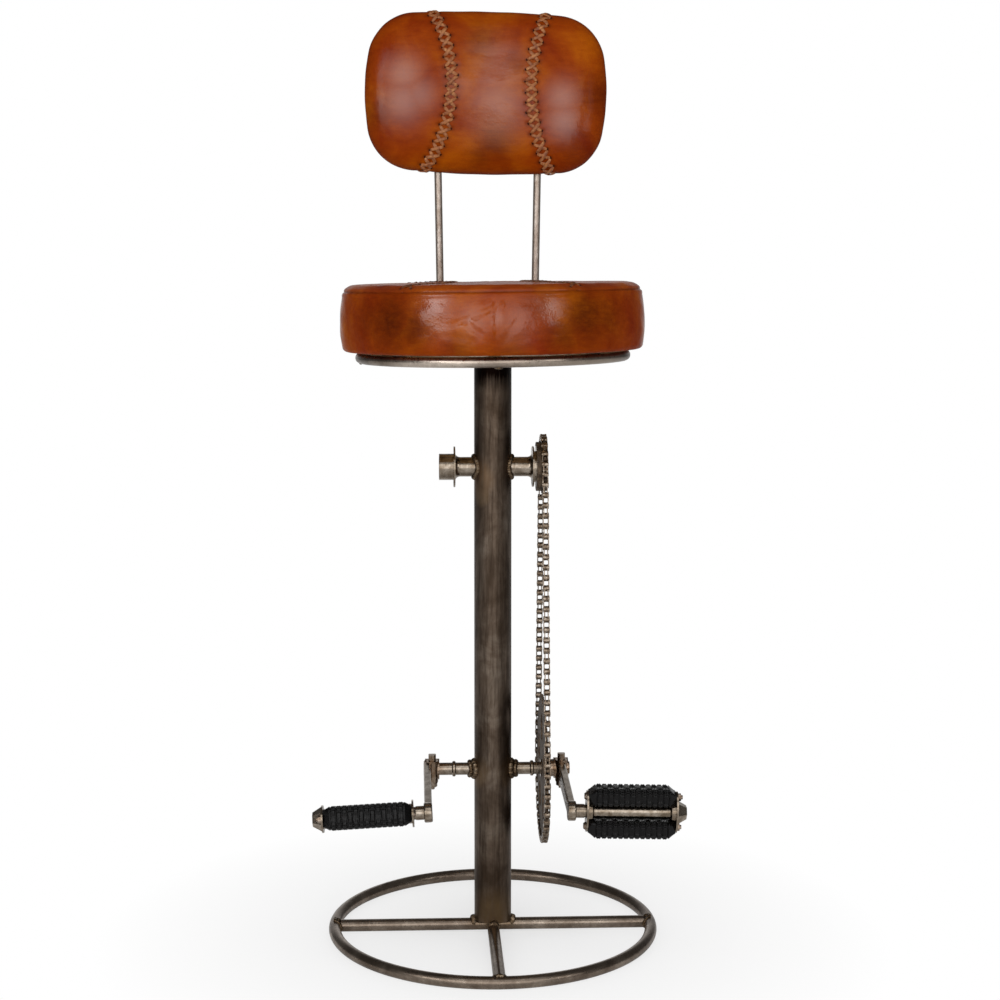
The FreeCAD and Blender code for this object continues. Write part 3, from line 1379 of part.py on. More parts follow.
def make_pedal(side):
    name = side_names[side].lower()
    frame = spun_frame(side)
    make_pedal_barrel(frame, name)
    cup_bore = "pedalCupDiameter / 2 - pedalCupWall"
    plates = [make_pedal_plate(start, cup_bore) for start in (pedal_inner, pedal_end)]
    sub_part(name + "_pedal_plates", *plates, frame=frame)
    rubbers = shaped("pedalRubbers", Part.makeCompound([make_rubber(-1), make_rubber(1)]), frame)
    sub_part(name + "_pedal_rubbers", rubbers)
    bolts = []
    nuts = []
    bolt_end = "(pedalNutThickness + pedalBoltEnd)"
    for half in (-1, 1):
        y = f"{half} * pedalBoltPlace"
        shank = cylinder("pedalBolt", "pedalBoltDiameter / 2",
                         f"{pedal_outer} + {bolt_end} - {pedal_inner}", (pedal_inner, y, 0), "X")
        head = cone("pedalBoltHead", "pedalBoltHeadDiameter / 3", "pedalBoltHeadDiameter / 2",
                    "pedalBoltHeadHeight", (f"{pedal_inner} - pedalBoltHeadHeight", y, 0), "X")
        bolts.append(fuse(shank, head))
        nut = prism("pedalNut", "pedalNutAcross", "pedalNutThickness", (pedal_outer, y, 0), "X")
        hole = cylinder("pedalNutHole", "pedalBoltDiameter / 2 + chainFit", "pedalBlockLength",
                        (pedal_end, y, 0), "X")
        nuts.append(cut(nut, hole))
    sub_part(name + "_pedal_bolts", *bolts, *nuts, frame=frame)
    sub_part(name + "_pedal_cap", make_pedal_cap(), frame=frame)


def make_all():
    make_base()
    make_post()
    make_seat()
    make_backrest()
    make_hub()
    make_freewheel()
    make_chain()
    make_chainring()
    make_spindle()
    for side in (-1, 1):
        make_crank(side)
    make_cotters()
    cones = []
    locks = []
    for side in (-1, 1):
        ring, nut = make_pedal_spindle(side)
        cones.append(ring)
        locks.append(nut)
    sub_part("pedal_cones", *cones)
    sub_part("pedal_lock_nuts", *locks)
    for side in (-1, 1):
        make_pedal(side)


def check_and_write():
    doc.recompute()
    faults = []
    for thing in doc.Objects:
        if any(word in ("Invalid", "Error") for word in thing.State):
            faults.append(f"{thing.Name}: {thing.State}")
    for node in nodes:
        if node.Shape.isNull() or not node.Shape.isValid() or not node.Shape.Solids:
            faults.append(f"{node.Label}: bad shape")
    if faults:
        raise RuntimeError("\n".join(faults))
    os.makedirs("parts", exist_ok=True)
    for node in nodes:
        node.Shape.exportStep(f"parts/{node.Label}.step")
    print(len(nodes), "sub-parts")


make_all()
check_and_write()
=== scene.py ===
# Bar stool welded from a steel tube, bent rods and old cycle parts: leather, lace, steel, rubber and welds
import json
import math

import bmesh
import bpy
import numpy as np
from mathutils import Matrix, Vector
from mathutils.bvhtree import BVHTree


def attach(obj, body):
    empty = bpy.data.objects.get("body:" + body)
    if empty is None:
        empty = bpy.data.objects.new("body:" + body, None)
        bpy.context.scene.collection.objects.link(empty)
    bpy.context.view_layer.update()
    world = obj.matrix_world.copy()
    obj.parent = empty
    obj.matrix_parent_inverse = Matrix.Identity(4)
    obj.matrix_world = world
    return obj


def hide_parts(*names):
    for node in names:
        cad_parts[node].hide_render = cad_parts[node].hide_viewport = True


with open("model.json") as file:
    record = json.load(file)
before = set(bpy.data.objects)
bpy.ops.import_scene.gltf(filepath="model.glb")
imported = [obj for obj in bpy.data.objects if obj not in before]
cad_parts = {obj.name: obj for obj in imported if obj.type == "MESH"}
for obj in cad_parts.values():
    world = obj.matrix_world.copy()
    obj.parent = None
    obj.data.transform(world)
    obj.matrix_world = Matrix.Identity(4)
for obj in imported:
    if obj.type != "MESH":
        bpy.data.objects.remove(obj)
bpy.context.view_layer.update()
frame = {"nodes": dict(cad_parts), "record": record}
nodes = frame["nodes"]
scene = bpy.context.scene
mm = 0.001
mergeReach = 1e-6            # metres: points closer than this become one
fullTurn = 2 * np.pi
endless = math.inf
print("frame loaded:", len(nodes), "nodes")


# Placing: a piece is worked out in its own frame in millimetres, then turned about Y and moved

def placed(points, part):
    # x' = x cos t + z sin t, z' = z cos t - x sin t, then the origin is added, all in metres
    angle = math.radians(part["turnY"])
    x, y, z = np.moveaxis(np.asarray(points, float), -1, 0)
    turned = [x * math.cos(angle) + z * math.sin(angle), y, z * math.cos(angle) - x * math.sin(angle)]
    return (np.stack(turned, -1) + np.array(part["origin"])) * mm


def ownFrame(points, part):
    # the way back: metres in the object's frame to millimetres in the piece's own
    c, s = math.cos(math.radians(part["turnY"])), math.sin(math.radians(part["turnY"]))
    x, y, z = np.moveaxis(np.asarray(points, float) / mm - np.array(part["origin"]), -1, 0)
    return np.stack([x * c - z * s, y, z * c + x * s], -1)


def turnedAboutZ(points, degrees):
    # x' = x cos t - y sin t, y' = x sin t + y cos t
    x, y, z = np.moveaxis(points, -1, 0)
    c, s = math.cos(math.radians(degrees)), math.sin(math.radians(degrees))
    return np.stack([x * c - y * s, x * s + y * c, z], -1)


# Meshes

def surfaceMesh(name, patches):
    # each patch is a grid of points (rows, columns, 3) and whether its columns close; quads join neighbours
    points, faces, first = [], [], 0
    for grid, closes in patches:
        rows, columns = grid.shape[:2]
        number = first + np.arange(rows * columns).reshape(rows, columns)
        if closes:
            number = np.concatenate([number, number[:, :1]], 1)
        quad = np.stack([number[:-1, :-1], number[:-1, 1:], number[1:, 1:], number[1:, :-1]], -1)
        faces.append(quad.reshape(-1, 4))
        points.append(grid.reshape(-1, 3))
        first += rows * columns
    mesh = bpy.data.meshes.new(name)
    mesh.from_pydata(np.concatenate(points), [], np.concatenate(faces))
    work = bmesh.new()
    work.from_mesh(mesh)
    bmesh.ops.remove_doubles(work, verts=work.verts, dist=mergeReach)
    bmesh.ops.dissolve_degenerate(work, dist=mergeReach / 10, edges=work.edges)
    bmesh.ops.recalc_face_normals(work, faces=work.faces)
    work.to_mesh(mesh)
    work.free()
    mesh.shade_smooth()
    made = bpy.data.objects.new(name, mesh)
    scene.collection.objects.link(made)
    return made


def meshPoints(mesh, normals=False):
    flat = np.empty(len(mesh.vertices) * 3)
    if normals:
        mesh.vertex_normals.foreach_get("vector", flat)
    else:
        mesh.vertices.foreach_get("co", flat)
    return flat.reshape(-1, 3)


def moveOut(mesh, height):
    # each point moves along its normal by its height in mm
    points = meshPoints(mesh) + meshPoints(mesh, normals=True) * height[:, None] * mm
    mesh.vertices.foreach_set("co", points.astype(np.float32).ravel())
    mesh.update()


def setShare(mesh, name, values):
    # one number at each point, read by a material's Attribute node
    mesh.attributes.new(name, "FLOAT", "POINT").data.foreach_set("value", values.astype(np.float32))


def bump(distance, width):
    # a bell curve: 1 where the distance is 0, falling to 0.37 at one width
    return np.exp(-(distance / width) ** 2)


def clipped(values):
    return np.clip(values, 0, 1)


def unit(vectors):
    tiny = 1e-12
    return vectors / np.maximum(np.linalg.norm(vectors, axis=-1, keepdims=True), tiny)


# Cushions: a grid on each face and rings of points round the edge between them

def gridShares(across, up):
    # for a grid's points: the share of the way out from the middle, and the place round the edge from 0 to 1
    x, z = np.meshgrid(np.linspace(-1, 1, across + 1), np.linspace(-1, 1, up + 1), indexing="ij")
    out = np.maximum(abs(x), abs(z))
    safe = np.where(out == 0, 1, out)
    x, z = x / safe, z / safe
    right, top = z * up / 2, up / 2 + (1 - x) * across / 2
    left, bottom = up / 2 + across + (1 - z) * up / 2, up * 1.5 + across + (1 + x) * across / 2
    edge = 0.999999
    place = np.select([x > edge, z > edge, x < -edge], [right, top, left], bottom)
    return out, (place / (2 * (across + up))) % 1


def facePatch(outline, heights, across, up):
    # a grid point keeps its share of the way out, and goes towards the outline at its place round the edge
    out, place = gridShares(across, up)
    flat = outline(place) * out[..., None]
    return np.concatenate([flat, heights(flat, out)[..., None]], -1)


# the simulation's length, the steps in which a point is held, and the leather's own settings
padding = {"frames": 20, "heldSteps": (0.25, 0.5, 0.75, 1.0)}
simulatedLeather = {"quality": 6, "mass": 0.5, "tension_stiffness": 40, "compression_stiffness": 40,
                    "shear_stiffness": 20, "bending_stiffness": 6, "use_pressure": True,
                    "uniform_pressure_force": 4, "vertex_group_mass": "held"}


def plump(cushion, held, cap):
    # leather drawn over foam: pressure swells the form between the points that seams and board hold,
    # and each point's way is cap * tanh(way / cap)
    group = cushion.vertex_groups.new(name="held")
    for weight in padding["heldSteps"]:
        chosen = np.flatnonzero((held > weight - padding["heldSteps"][0]) & (held <= weight))
        group.add(chosen.tolist(), weight, "REPLACE")
    cloth = cushion.modifiers.new("leather", "CLOTH")
    for name, setting in simulatedLeather.items():
        setattr(cloth.settings, name, setting)
    cloth.settings.effector_weights.gravity = 0
    cloth.collision_settings.use_collision = False
    rest = meshPoints(cushion.data)
    for step in range(1, padding["frames"] + 1):
        scene.frame_set(step)
    swollen = cushion.evaluated_get(bpy.context.evaluated_depsgraph_get())
    move = meshPoints(swollen.data) - rest
    cushion.modifiers.remove(cloth)
    cushion.vertex_groups.clear()
    scene.frame_set(1)
    length = np.linalg.norm(move, axis=1, keepdims=True)
    points = rest + unit(move) * cap * mm * np.tanh(length / (cap * mm))
    cushion.data.vertices.foreach_set("co", points.astype(np.float32).ravel())
    cushion.data.update()
    print("  ", cushion.name, "swelled by up to", round(float(length.max()) / mm, 1), "mm, capped")


def refined(cushion):
    # one Catmull-Clark subdivision, made part of the mesh
    finer = cushion.modifiers.new("finer", "SUBSURF")
    finer.levels = finer.render_levels = 1
    smooth = bpy.data.meshes.new_from_object(cushion.evaluated_get(bpy.context.evaluated_depsgraph_get()))
    cushion.modifiers.remove(finer)
    cushion.data = smooth
    smooth.shade_smooth()


creaseShape = {"fade": 0.25, "swell": 0.75, "swellWidths": 2.4}     # shares of its length, depth and width


def creaseHeight(across, up, creases):
    # each crease is a line with a dent along it and a soft swell to both sides, fading at its ends
    height = np.zeros(len(across))
    for x0, z0, x1, z1, width, depth in creases:
        run = np.array([x1 - x0, z1 - z0])
        share = ((across - x0) * run[0] + (up - z0) * run[1]) / (run @ run)
        gap = np.hypot(across - x0 - run[0] * share, up - z0 - run[1] * share)
        fade = bump(np.maximum(abs(share - 0.5) - 0.5, 0), creaseShape["fade"])
        swell = creaseShape["swell"] * bump(gap, width * creaseShape["swellWidths"])
        height += depth * fade * (swell - bump(gap, width))
    return height


def waves(x, y, rows):
    # a sum of products of two sines; a row has the height, then each sine's two lengths in mm and its start
    return sum(height * np.sin(x / firstX + y / firstY + first) * np.sin(x / secondX + y / secondY + second)
               for height, firstX, firstY, first, secondX, secondY, second in rows)


def spots(across, up, places):
    # the strongest of several soft round spots, each with its place, a reach in mm and a strength
    total = np.zeros(len(across))
    for x, z, reach, strength in places:
        total = np.maximum(total, strength * bump(np.hypot(across - x, up - z), reach))
    return total


seatCushion = {
    "origin": (0, 0, 731.3), "turnY": -0.7, "lift": 9.5,    # the seat ring's frame, and the cushion above it
    "radius": 187.3, "belly": 2.8, "height": 82, "crown": 2, "topInset": 4, "cells": 76,
    "shoulder": 17, "shoulderSteps": 16, "sideSteps": 15, "bottomCorner": 6.5, "cornerSteps": 5, "drop": 1.6,
    # the leather's edge under the board: radius and height
    "hem": [(178.5, -0.8), (174, 0), (170, 0), (166.7, 0), (166.3, 0.5), (166.3, 3), (166.3, 8),
            (166.3, 13.6), (165.3, 14.6)],
    "rimSeam": 72.45, "leftSeam": (-253, 205), "rightSeam": (306, 265),   # height; centre x and radius
    "startInset": 1.4, "boardInset": 0.5, "drawnIn": (18, 14),            # from this height, over this height
    "heldUnder": (24, 10), "heldSeam": (0.9, 4, 5), "swellCap": 4.5,
    "facingTurn": -92.4,                                                  # degrees round from +X to the front
    "sideZone": (176, -1), "underZone": (178, 20), "lowZone": (18, -0.6), "waveZone": 3,
    # depth or height and width, and for the swell below the rim seam its distance
    "rimGroove": (-1.3, 1.3), "rimSwell": (0.45, 4, 2.2), "topGroove": (-0.8, 1.6),
    "topWaves": [(0.35, 23, endless, 1, endless, 19, 0)], "sideWaves": [(0.25, 9, 7, 0, 31, 13, 0)],
    # across from the front, height, across, height, width, depth
    "creases": [(-40, 37, -4, 51, 4.0, 2.2), (-4, 51, 8, 61, 3.6, 1.9), (4, 55, 5, 25, 3.4, 2.6),
                (-27, 36, -9, 19, 4.2, 2.3), (-20, 27, -2, 23, 3.6, 1.5), (15, 18, 28, 38, 4.6, 1.5),
                (-52, 21, -14, 17, 4.6, 1.4), (30, 18, 74, 23, 6, 1.0), (-112, 20, -84, 24, 6, 1.0),
                (40, 60, 85, 55, 7, 0.9), (-95, 58, -60, 63, 7, 0.9), (-10, 30, -24, 14, 3.8, 1.5)],
    # across from the front, height, reach, strength
    "stains": [(-128, 38, 38, 1.0), (-95, 30, 26, 0.9), (84, 22, 26, 0.85), (116, 42, 38, 1.0),
               (-40, 6, 20, 0.6), (150, 40, 30, 0.7), (-160, 40, 30, 0.6), (20, 6, 26, 0.5),
               (60, 62, 30, 0.4)],
    # rubbed and waxed places: the same four numbers, then the reach, fade and strength of front and flanks
    "polish": [(-68, 57, 22, 1.0), (-62, 36, 18, 0.75), (64, 51, 18, 0.9), (30, 38, 24, 0.6),
               (5, 42, 12, 0.8), (-22, 40, 22, 0.7)],
    "polishedFront": (84, 14, 0.36), "polishedFlank": (225, 40, 0.5),
    "polishedBand": (48, 21), "polishedTop": 0.2,
    # strength and width of the painted shade along the rim seam's groove and of the burnished seams,
    # and of the hem's cut edge: strength, height, radius
    "rimSeamShade": (0.95, 1.5), "burnishedSeam": (0.35, 1.8), "burnishedHem": (0.6, 0.5, 180),
}


def circle(radius):
    return lambda place: radius * np.stack([np.cos(fullTurn * place), np.sin(fullTurn * place)], -1)


def seatTop(part, radius):
    # the crown is a parabola over the flat middle
    flat = part["radius"] - part["shoulder"]
    return part["height"] + part["crown"] * (1 - (radius / flat) ** 2) - part["startInset"]


def seatProfile(part):
    # from the top's edge over shoulder, side and bottom corner to the hem: two arcs, half a sine between them
    inset, slack, shoulder = part["startInset"], part["boardInset"], part["shoulder"]
    flat, corner, foot = part["radius"] - shoulder, part["bottomCorner"], part["height"] - shoulder
    turn = np.radians(np.linspace(90, 0, part["shoulderSteps"]))[:-1]
    upper = np.stack([flat + (shoulder - inset) * np.cos(turn), foot + (shoulder - inset) * np.sin(turn)], -1)
    low = corner - part["drop"]
    up = np.linspace(foot, low, part["sideSteps"])[:-1]
    start, reach = part["drawnIn"]
    drawn = slack + (inset - slack) * clipped((up - start) / reach)
    belly = part["belly"] * np.sin(np.pi * (up - low) / (foot - low))
    side = np.stack([part["radius"] - drawn + belly, up], -1)
    turn = np.radians(np.linspace(0, -90, part["cornerSteps"]))
    out = part["radius"] - corner + (corner - slack) * np.cos(turn)
    lower = np.stack([out, low + corner * np.sin(turn)], -1)
    edge = flat - part["topInset"]
    return np.concatenate([[[edge, seatTop(part, edge)]], upper, side, lower, part["hem"]])


def makeSeatCushion(part):
    cells, hemHole, flat = part["cells"], part["hem"][-2][0], part["radius"] - part["shoulder"]
    profile = seatProfile(part)
    ring = circle(1)(np.arange(cells * 4) / (cells * 4))
    heights = np.broadcast_to(profile[:, None, 1:], (len(profile), cells * 4, 1))
    rings = np.concatenate([ring[None] * profile[:, None, :1], heights], -1)
    (topEdge, _), (underEdge, boardTop) = profile[0], part["hem"][-1]
    top = facePatch(circle(topEdge), lambda xy, out: seatTop(part, np.linalg.norm(xy, axis=-1)), cells, cells)
    under = facePatch(circle(underEdge), lambda xy, out: np.full(out.shape, boardTop), cells, cells)
    raised = np.array([0, 0, part["lift"]])
    patches = [(placed(patch + raised, part), closes)
               for patch, closes in ((top, False), (rings, True), (under, False))]
    cushion = surfaceMesh("seat_cushion", patches)
    up = part["rimSeam"] - part["height"] + part["shoulder"]
    seamRadius = flat + math.sqrt(part["shoulder"] ** 2 - up ** 2)

    def measured():
        # each point's place, and its distance to the rim seam and to the nearer of the two seams on top
        x, y, z = (ownFrame(meshPoints(cushion.data), part) - raised).T
        out = np.hypot(x, y)
        rim = np.hypot(out - seamRadius + part["startInset"] / 2, z - part["rimSeam"])
        seams = [abs(np.hypot(x - centre, y) - radius)
                 for centre, radius in (part["leftSeam"], part["rightSeam"])]
        return x, y, z, out, rim, np.where(z > part["rimSeam"] - 1, np.minimum(*seams), 99)

    x, y, z, out, rim, across = measured()
    (reach, over), (strength, rimWidth, seamWidth) = part["heldUnder"], part["heldSeam"]
    board = clipped((reach - z) / over) + (out < hemHole + 2) * (z < part["underZone"][1])
    sewn = (bump(rim, rimWidth) + bump(across, seamWidth)) * strength
    plump(cushion, clipped(sewn + board), part["swellCap"])
    refined(cushion)

    x, y, z, out, rim, across = measured()
    around = (np.arctan2(y, x) - math.radians(part["facingTurn"]) + np.pi) % fullTurn - np.pi
    front = around * part["radius"]
    (sideFrom, sideLow), (low, least) = part["sideZone"], part["lowZone"]
    underReach, underTop = part["underZone"]
    onSide = (out > sideFrom) & (z > sideLow)
    (rimDepth, rimWidth), (seamDepth, seamWidth) = part["rimGroove"], part["topGroove"]
    swell, away, swellWidth = part["rimSwell"]
    height = rimDepth * bump(rim, rimWidth) + swell * bump(rim - away, swellWidth)
    height += seamDepth * bump(across, seamWidth)
    height += np.where(onSide, creaseHeight(front, z, part["creases"]), 0)
    uneven = waves(x, y, part["topWaves"]) + waves(front, z, part["sideWaves"])
    height += np.where(z > part["waveZone"], uneven, 0)
    height = np.where(z < low, np.maximum(height, least), height)
    moveOut(cushion.data, np.where((out < underReach) & (z < underTop), 0, height))

    setShare(cushion.data, "stain", np.where(onSide, spots(front, z, part["stains"]), 0.0))
    # the rim seam is darkened as painted shade of its groove; the hem's cut edge and the seams on top are
    # burnished
    (rimShade, rimWidth), (seamDark, seamWidth) = part["rimSeamShade"], part["burnishedSeam"]
    hemDark, hemTop, hemReach = part["burnishedHem"]
    edge = np.maximum(hemDark * (z < hemTop) * (out < hemReach), rimShade * bump(rim, rimWidth))
    setShare(cushion.data, "burnish", clipped(edge + seamDark * bump(across, seamWidth)))
    (reach, fade, shine), (flank, flankFade, flankShine) = part["polishedFront"], part["polishedFlank"]
    middle, band = part["polishedBand"]
    broad = shine * clipped((reach - abs(front)) / fade) * bump(z - middle, band)
    broad += flankShine * clipped((abs(front) - flank) / flankFade)
    side = np.maximum(broad, spots(front, z, part["polish"]))
    worn = np.where(onSide & (z < part["rimSeam"]), side, part["polishedTop"] * (z > part["rimSeam"]))
    setShare(cushion.data, "wear", clipped(worn))
    return cushion, seamRadius


seat, seatSeamRadius = makeSeatCushion(seatCushion)
print("seat cushion:", len(seat.data.polygons), "faces")

backCushion = {
    "origin": (-1.3, 190, 1071.9), "turnY": 1.1,
    "width": 323, "height": 216, "thickness": 54, "corner": 66, "sideCurve": 330, "topCurve": 1500,
    "edgeInset": 52, "crown": 6, "startInset": 0.7, "across": 76, "up": 48, "edgeSteps": 31,
    "leftSeam": (-242, 7, 196), "rightSeam": (305.5, 10.5, 247),   # centre x, z and radius
    "heldSeam": (0.75, 5), "swellCap": 2.5,
    "groove": (-0.8, 1.6), "waves": [(0.4, 27, endless, 2, endless, 21, 1), (0.2, 8, 11, 0, endless, 15, 0)],
    # across, height, reach, strength
    "stains": [(-8, 66, 22, 0.6), (12, -66, 26, 0.75), (-5, -84, 18, 0.6), (-145, -30, 24, 0.5),
               (40, 40, 16, 0.35), (148, 0, 26, 0.7), (120, -70, 30, 0.4)],
    "wear": [(-110, 20, 25, 0.9), (-110, -14, 28, 0.95), (-90, -6, 24, 0.8), (12, 28, 34, 0.85),
             (14, -16, 38, 0.85), (100, -6, 23, 0.9), (103, -36, 24, 0.95), (-30, 10, 30, 0.4)],
    "wornDepth": (12, 24), "burnishedEdge": (0.65, 9), "burnishedSeam": (0.35, 1.8),
}


def backOutline(part, inset):
    # four long arcs and four corner arcs; a point is its arc's centre plus the radius along the normal angle
    halfWide, halfHigh = part["width"] / 2, part["height"] / 2
    side, top, corner = part["sideCurve"], part["topCurve"], part["corner"]
    sideCentre, topCentre = halfWide - side, halfHigh - top
    distance = math.hypot(sideCentre, topCentre)
    along = ((side - corner) ** 2 - (top - corner) ** 2 + distance ** 2) / (2 * distance)
    off = math.sqrt((side - corner) ** 2 - along ** 2)
    stepX, stepZ = -sideCentre / distance, topCentre / distance
    cornerX, cornerZ = sideCentre + along * stepX - off * stepZ, along * stepZ + off * stepX
    low = math.atan2(cornerZ, cornerX - sideCentre)
    high = math.atan2(cornerZ - topCentre, cornerX)
    lengths = np.cumsum([0, side * low, corner * (high - low), top * (math.pi / 2 - high)])

    def at(place):
        quarter = (place % 1) * 4
        number = np.floor(quarter)
        share = np.where(number % 2 == 0, quarter - number, 1 - quarter + number)
        angle = np.interp(share * lengths[-1], lengths, [0, low, high, math.pi / 2])
        radius = np.select([angle < low, angle < high], [side, corner], top) - inset
        x = np.select([angle < low, angle < high], [sideCentre, cornerX], 0) + radius * np.cos(angle)
        z = np.select([angle < low, angle < high], [0, cornerZ], topCentre) + radius * np.sin(angle)
        return np.stack([np.where((number == 0) | (number == 3), x, -x), np.where(number < 2, z, -z)], -1)
    return at


def backFace(part, side):
    # the crown is (1 - out^2)^2 of the share of the way out from the middle
    def depth(xz, out):
        return side * (part["thickness"] / 2 - part["startInset"] + part["crown"] * (1 - out ** 2) ** 2)
    return facePatch(backOutline(part, part["edgeInset"]), depth, part["across"], part["up"])[..., [0, 2, 1]]


def makeBackCushion(part):
    inset, halfThick = part["startInset"], part["thickness"] / 2 - part["startInset"]
    count = 2 * (part["across"] + part["up"])
    rings = []
    # front to back, each ring half an ellipse's step further
    for turn in np.linspace(-np.pi / 2, np.pi / 2, part["edgeSteps"]):
        drawn = inset + (part["edgeInset"] - inset) * (1 - math.cos(turn))
        ring = backOutline(part, drawn)(np.arange(count) / count)
        rings.append(np.stack([ring[:, 0], np.full(count, halfThick * math.sin(turn)), ring[:, 1]], -1))
    patches = ((backFace(part, -1), False), (np.array(rings), True), (backFace(part, 1), False))
    cushion = surfaceMesh("backrest_cushion", [(placed(grid, part), closes)
                                               for grid, closes in patches])

    def measured():
        x, y, z = ownFrame(meshPoints(cushion.data), part).T
        seams = [abs(np.hypot(x - centreX, z - centreZ) - radius)
                 for centreX, centreZ, radius in (part["leftSeam"], part["rightSeam"])]
        return x, y, z, np.minimum(*seams)

    strength, width = part["heldSeam"]
    plump(cushion, clipped(bump(measured()[-1], width) * strength), part["swellCap"])
    refined(cushion)

    x, y, z, gap = measured()
    depth, width = part["groove"]
    moveOut(cushion.data, depth * bump(gap, width) + waves(x, z, part["waves"]))
    (edgeDark, edgeWidth), (seamDark, seamWidth) = part["burnishedEdge"], part["burnishedSeam"]
    start, reach = part["wornDepth"]
    setShare(cushion.data, "stain", spots(x, z, part["stains"]))
    burnish = edgeDark * bump(y, edgeWidth) + seamDark * bump(gap, seamWidth)
    setShare(cushion.data, "burnish", clipped(burnish))
    setShare(cushion.data, "wear", clipped(spots(x, z, part["wear"]) * clipped((start - y) / reach)))
    return cushion


back = makeBackCushion(backCushion)
print("backrest cushion:", len(back.data.polygons), "faces")


# Lacing: flat leather lace in crosses over a seam, through a row of awl holes on each side, each slit
# covered by a dark lens of painted shade

lacingSizes = {
    "pitch": 13.8, "width": 16.8, "laceWidth": 4.7, "laceThick": 1.5, "lift": 0.15, "sides": 8,
    # power of the sine, depth of the ends, and the upper lace's step: its height and reach as shares
    "arch": 0.35, "sink": 0.9, "over": (1.05, 0.2), "taper": (0, 0.8, 1, 1, 1, 1, 1, 0.8, 0),
    # half sizes of a slit, the lean of the left and right row, and the lens of painted shade over it: share
    # of the slit, and height
    "slit": (3.1, 1.15), "slitLean": (-0.45, 0.25),
    "lens": ((0.0, 0.16), (0.8, 0.15), (1.0, 0.05), (0.0, -0.8)), "lensSides": 10,
    # depth and reach; strength, and its reach in dents
    "dent": (1.0, 3.0), "burnish": (0.75, 1.3),
}
seatLacing = {**lacingSizes, "laceThick": 1.0, "lift": 0.05}


def cushionTree(cushion):
    return BVHTree.FromObject(cushion, bpy.context.evaluated_depsgraph_get())


def onSurface(tree, points):
    # nearest point of the leather to each point, and its normal
    found = [tree.find_nearest(Vector(point))[:2] for point in points]
    return np.array([tuple(hit[0]) for hit in found]), np.array([tuple(hit[1]) for hit in found])


def evenly(path, pitch, closed):
    # the path's points respaced evenly, as many as fit its length
    if closed:
        path = np.concatenate([path, path[:1]])
    run = np.concatenate([[0], np.cumsum(np.linalg.norm(np.diff(path, axis=0), axis=1))])
    at = np.linspace(0, run[-1], max(2, round(run[-1] / pitch)) + 1)
    at = at[:-1] if closed else at
    return np.stack([np.interp(at, run, path[:, k]) for k in range(3)], -1)


def makeLacing(name, cushion, path, closed, sizes):
    tree = cushionTree(cushion)
    stations, normals = onSurface(tree, evenly(onSurface(tree, path)[0], sizes["pitch"] * mm, closed))
    ahead, behind = np.roll(stations, -1, 0), np.roll(stations, 1, 0)
    if not closed:
        ahead[-1], behind[0] = stations[-1], stations[0]
    sideways = unit(np.cross(ahead - behind, normals)) * sizes["width"] / 2 * mm
    left, right = onSurface(tree, stations - sideways)[0], onSurface(tree, stations + sideways)[0]
    leans = np.concatenate([unit(ahead - behind) + unit(sideways) * lean for lean in sizes["slitLean"]])
    pulledIn(cushion, np.concatenate([left, right]), sizes)
    tree = cushionTree(cushion)
    (left, leftNormal), (right, rightNormal) = onSurface(tree, left), onSurface(tree, right)
    last = len(stations) if closed else len(stations) - 1
    now = np.arange(last)
    then = (now + 1) % len(stations)
    starts = np.concatenate([left[now], right[now]])
    ends = np.concatenate([right[then], left[then]])
    upper = np.concatenate([np.ones(last), np.zeros(last)])
    # each lace runs from hole to hole on the leather; the first of each cross lifts over the second
    share = np.linspace(0, 1, len(sizes["taper"]))
    line = starts[:, None] + (ends - starts)[:, None] * share[None, :, None]
    base, normal = (found.reshape(line.shape) for found in onSurface(tree, line.reshape(-1, 3)))
    arch = np.sin(np.pi * share) ** sizes["arch"]
    rise = (sizes["lift"] + sizes["laceThick"] / 2) * arch - sizes["sink"] * (1 - arch)
    step, reach = sizes["over"]
    rise = rise[None] + upper[:, None] * sizes["laceThick"] * step * bump(share - 0.5, reach)[None]
    centre = base + normal * rise[..., None] * mm
    along = unit(np.gradient(centre, axis=1))
    flat = unit(np.cross(along, normal))
    proud = np.cross(flat, along)
    turn = ((np.arange(sizes["sides"]) + 0.5) * fullTurn / sizes["sides"])[None, None, :, None]
    section = (flat[:, :, None] * np.cos(turn) * sizes["laceWidth"] / 2
               + proud[:, :, None] * np.sin(turn) * sizes["laceThick"] / 2)
    tube = centre[:, :, None] + section * np.array(sizes["taper"])[None, :, None, None] * mm
    lacing = surfaceMesh(name, [(lace, True) for lace in tube])
    holesAndShades, holeNormals = np.concatenate([left, right]), np.concatenate([leftNormal, rightNormal])
    return lacing, makeHoleShades(name + "_hole_shades", holesAndShades, holeNormals, leans, sizes)


def makeHoleShades(name, holesAndShades, normals, leans, sizes):
    # painted shade: a small dark lens over each awl slit, rings of an ellipse between a top and a bottom
    # point
    (halfLong, halfWide), sideB = sizes["slit"], unit(np.cross(normals, leans))
    sideA = np.cross(sideB, normals)
    turn = (np.arange(sizes["lensSides"]) * fullTurn / sizes["lensSides"])[None, :, None]
    ring = sideA[:, None] * np.cos(turn) * halfLong + sideB[:, None] * np.sin(turn) * halfWide
    rows = [holesAndShades[:, None] + (ring * share + normals[:, None] * up) * mm for share, up in sizes["lens"]]
    return surfaceMesh(name, [(lens, True) for lens in np.stack(rows, 1)])


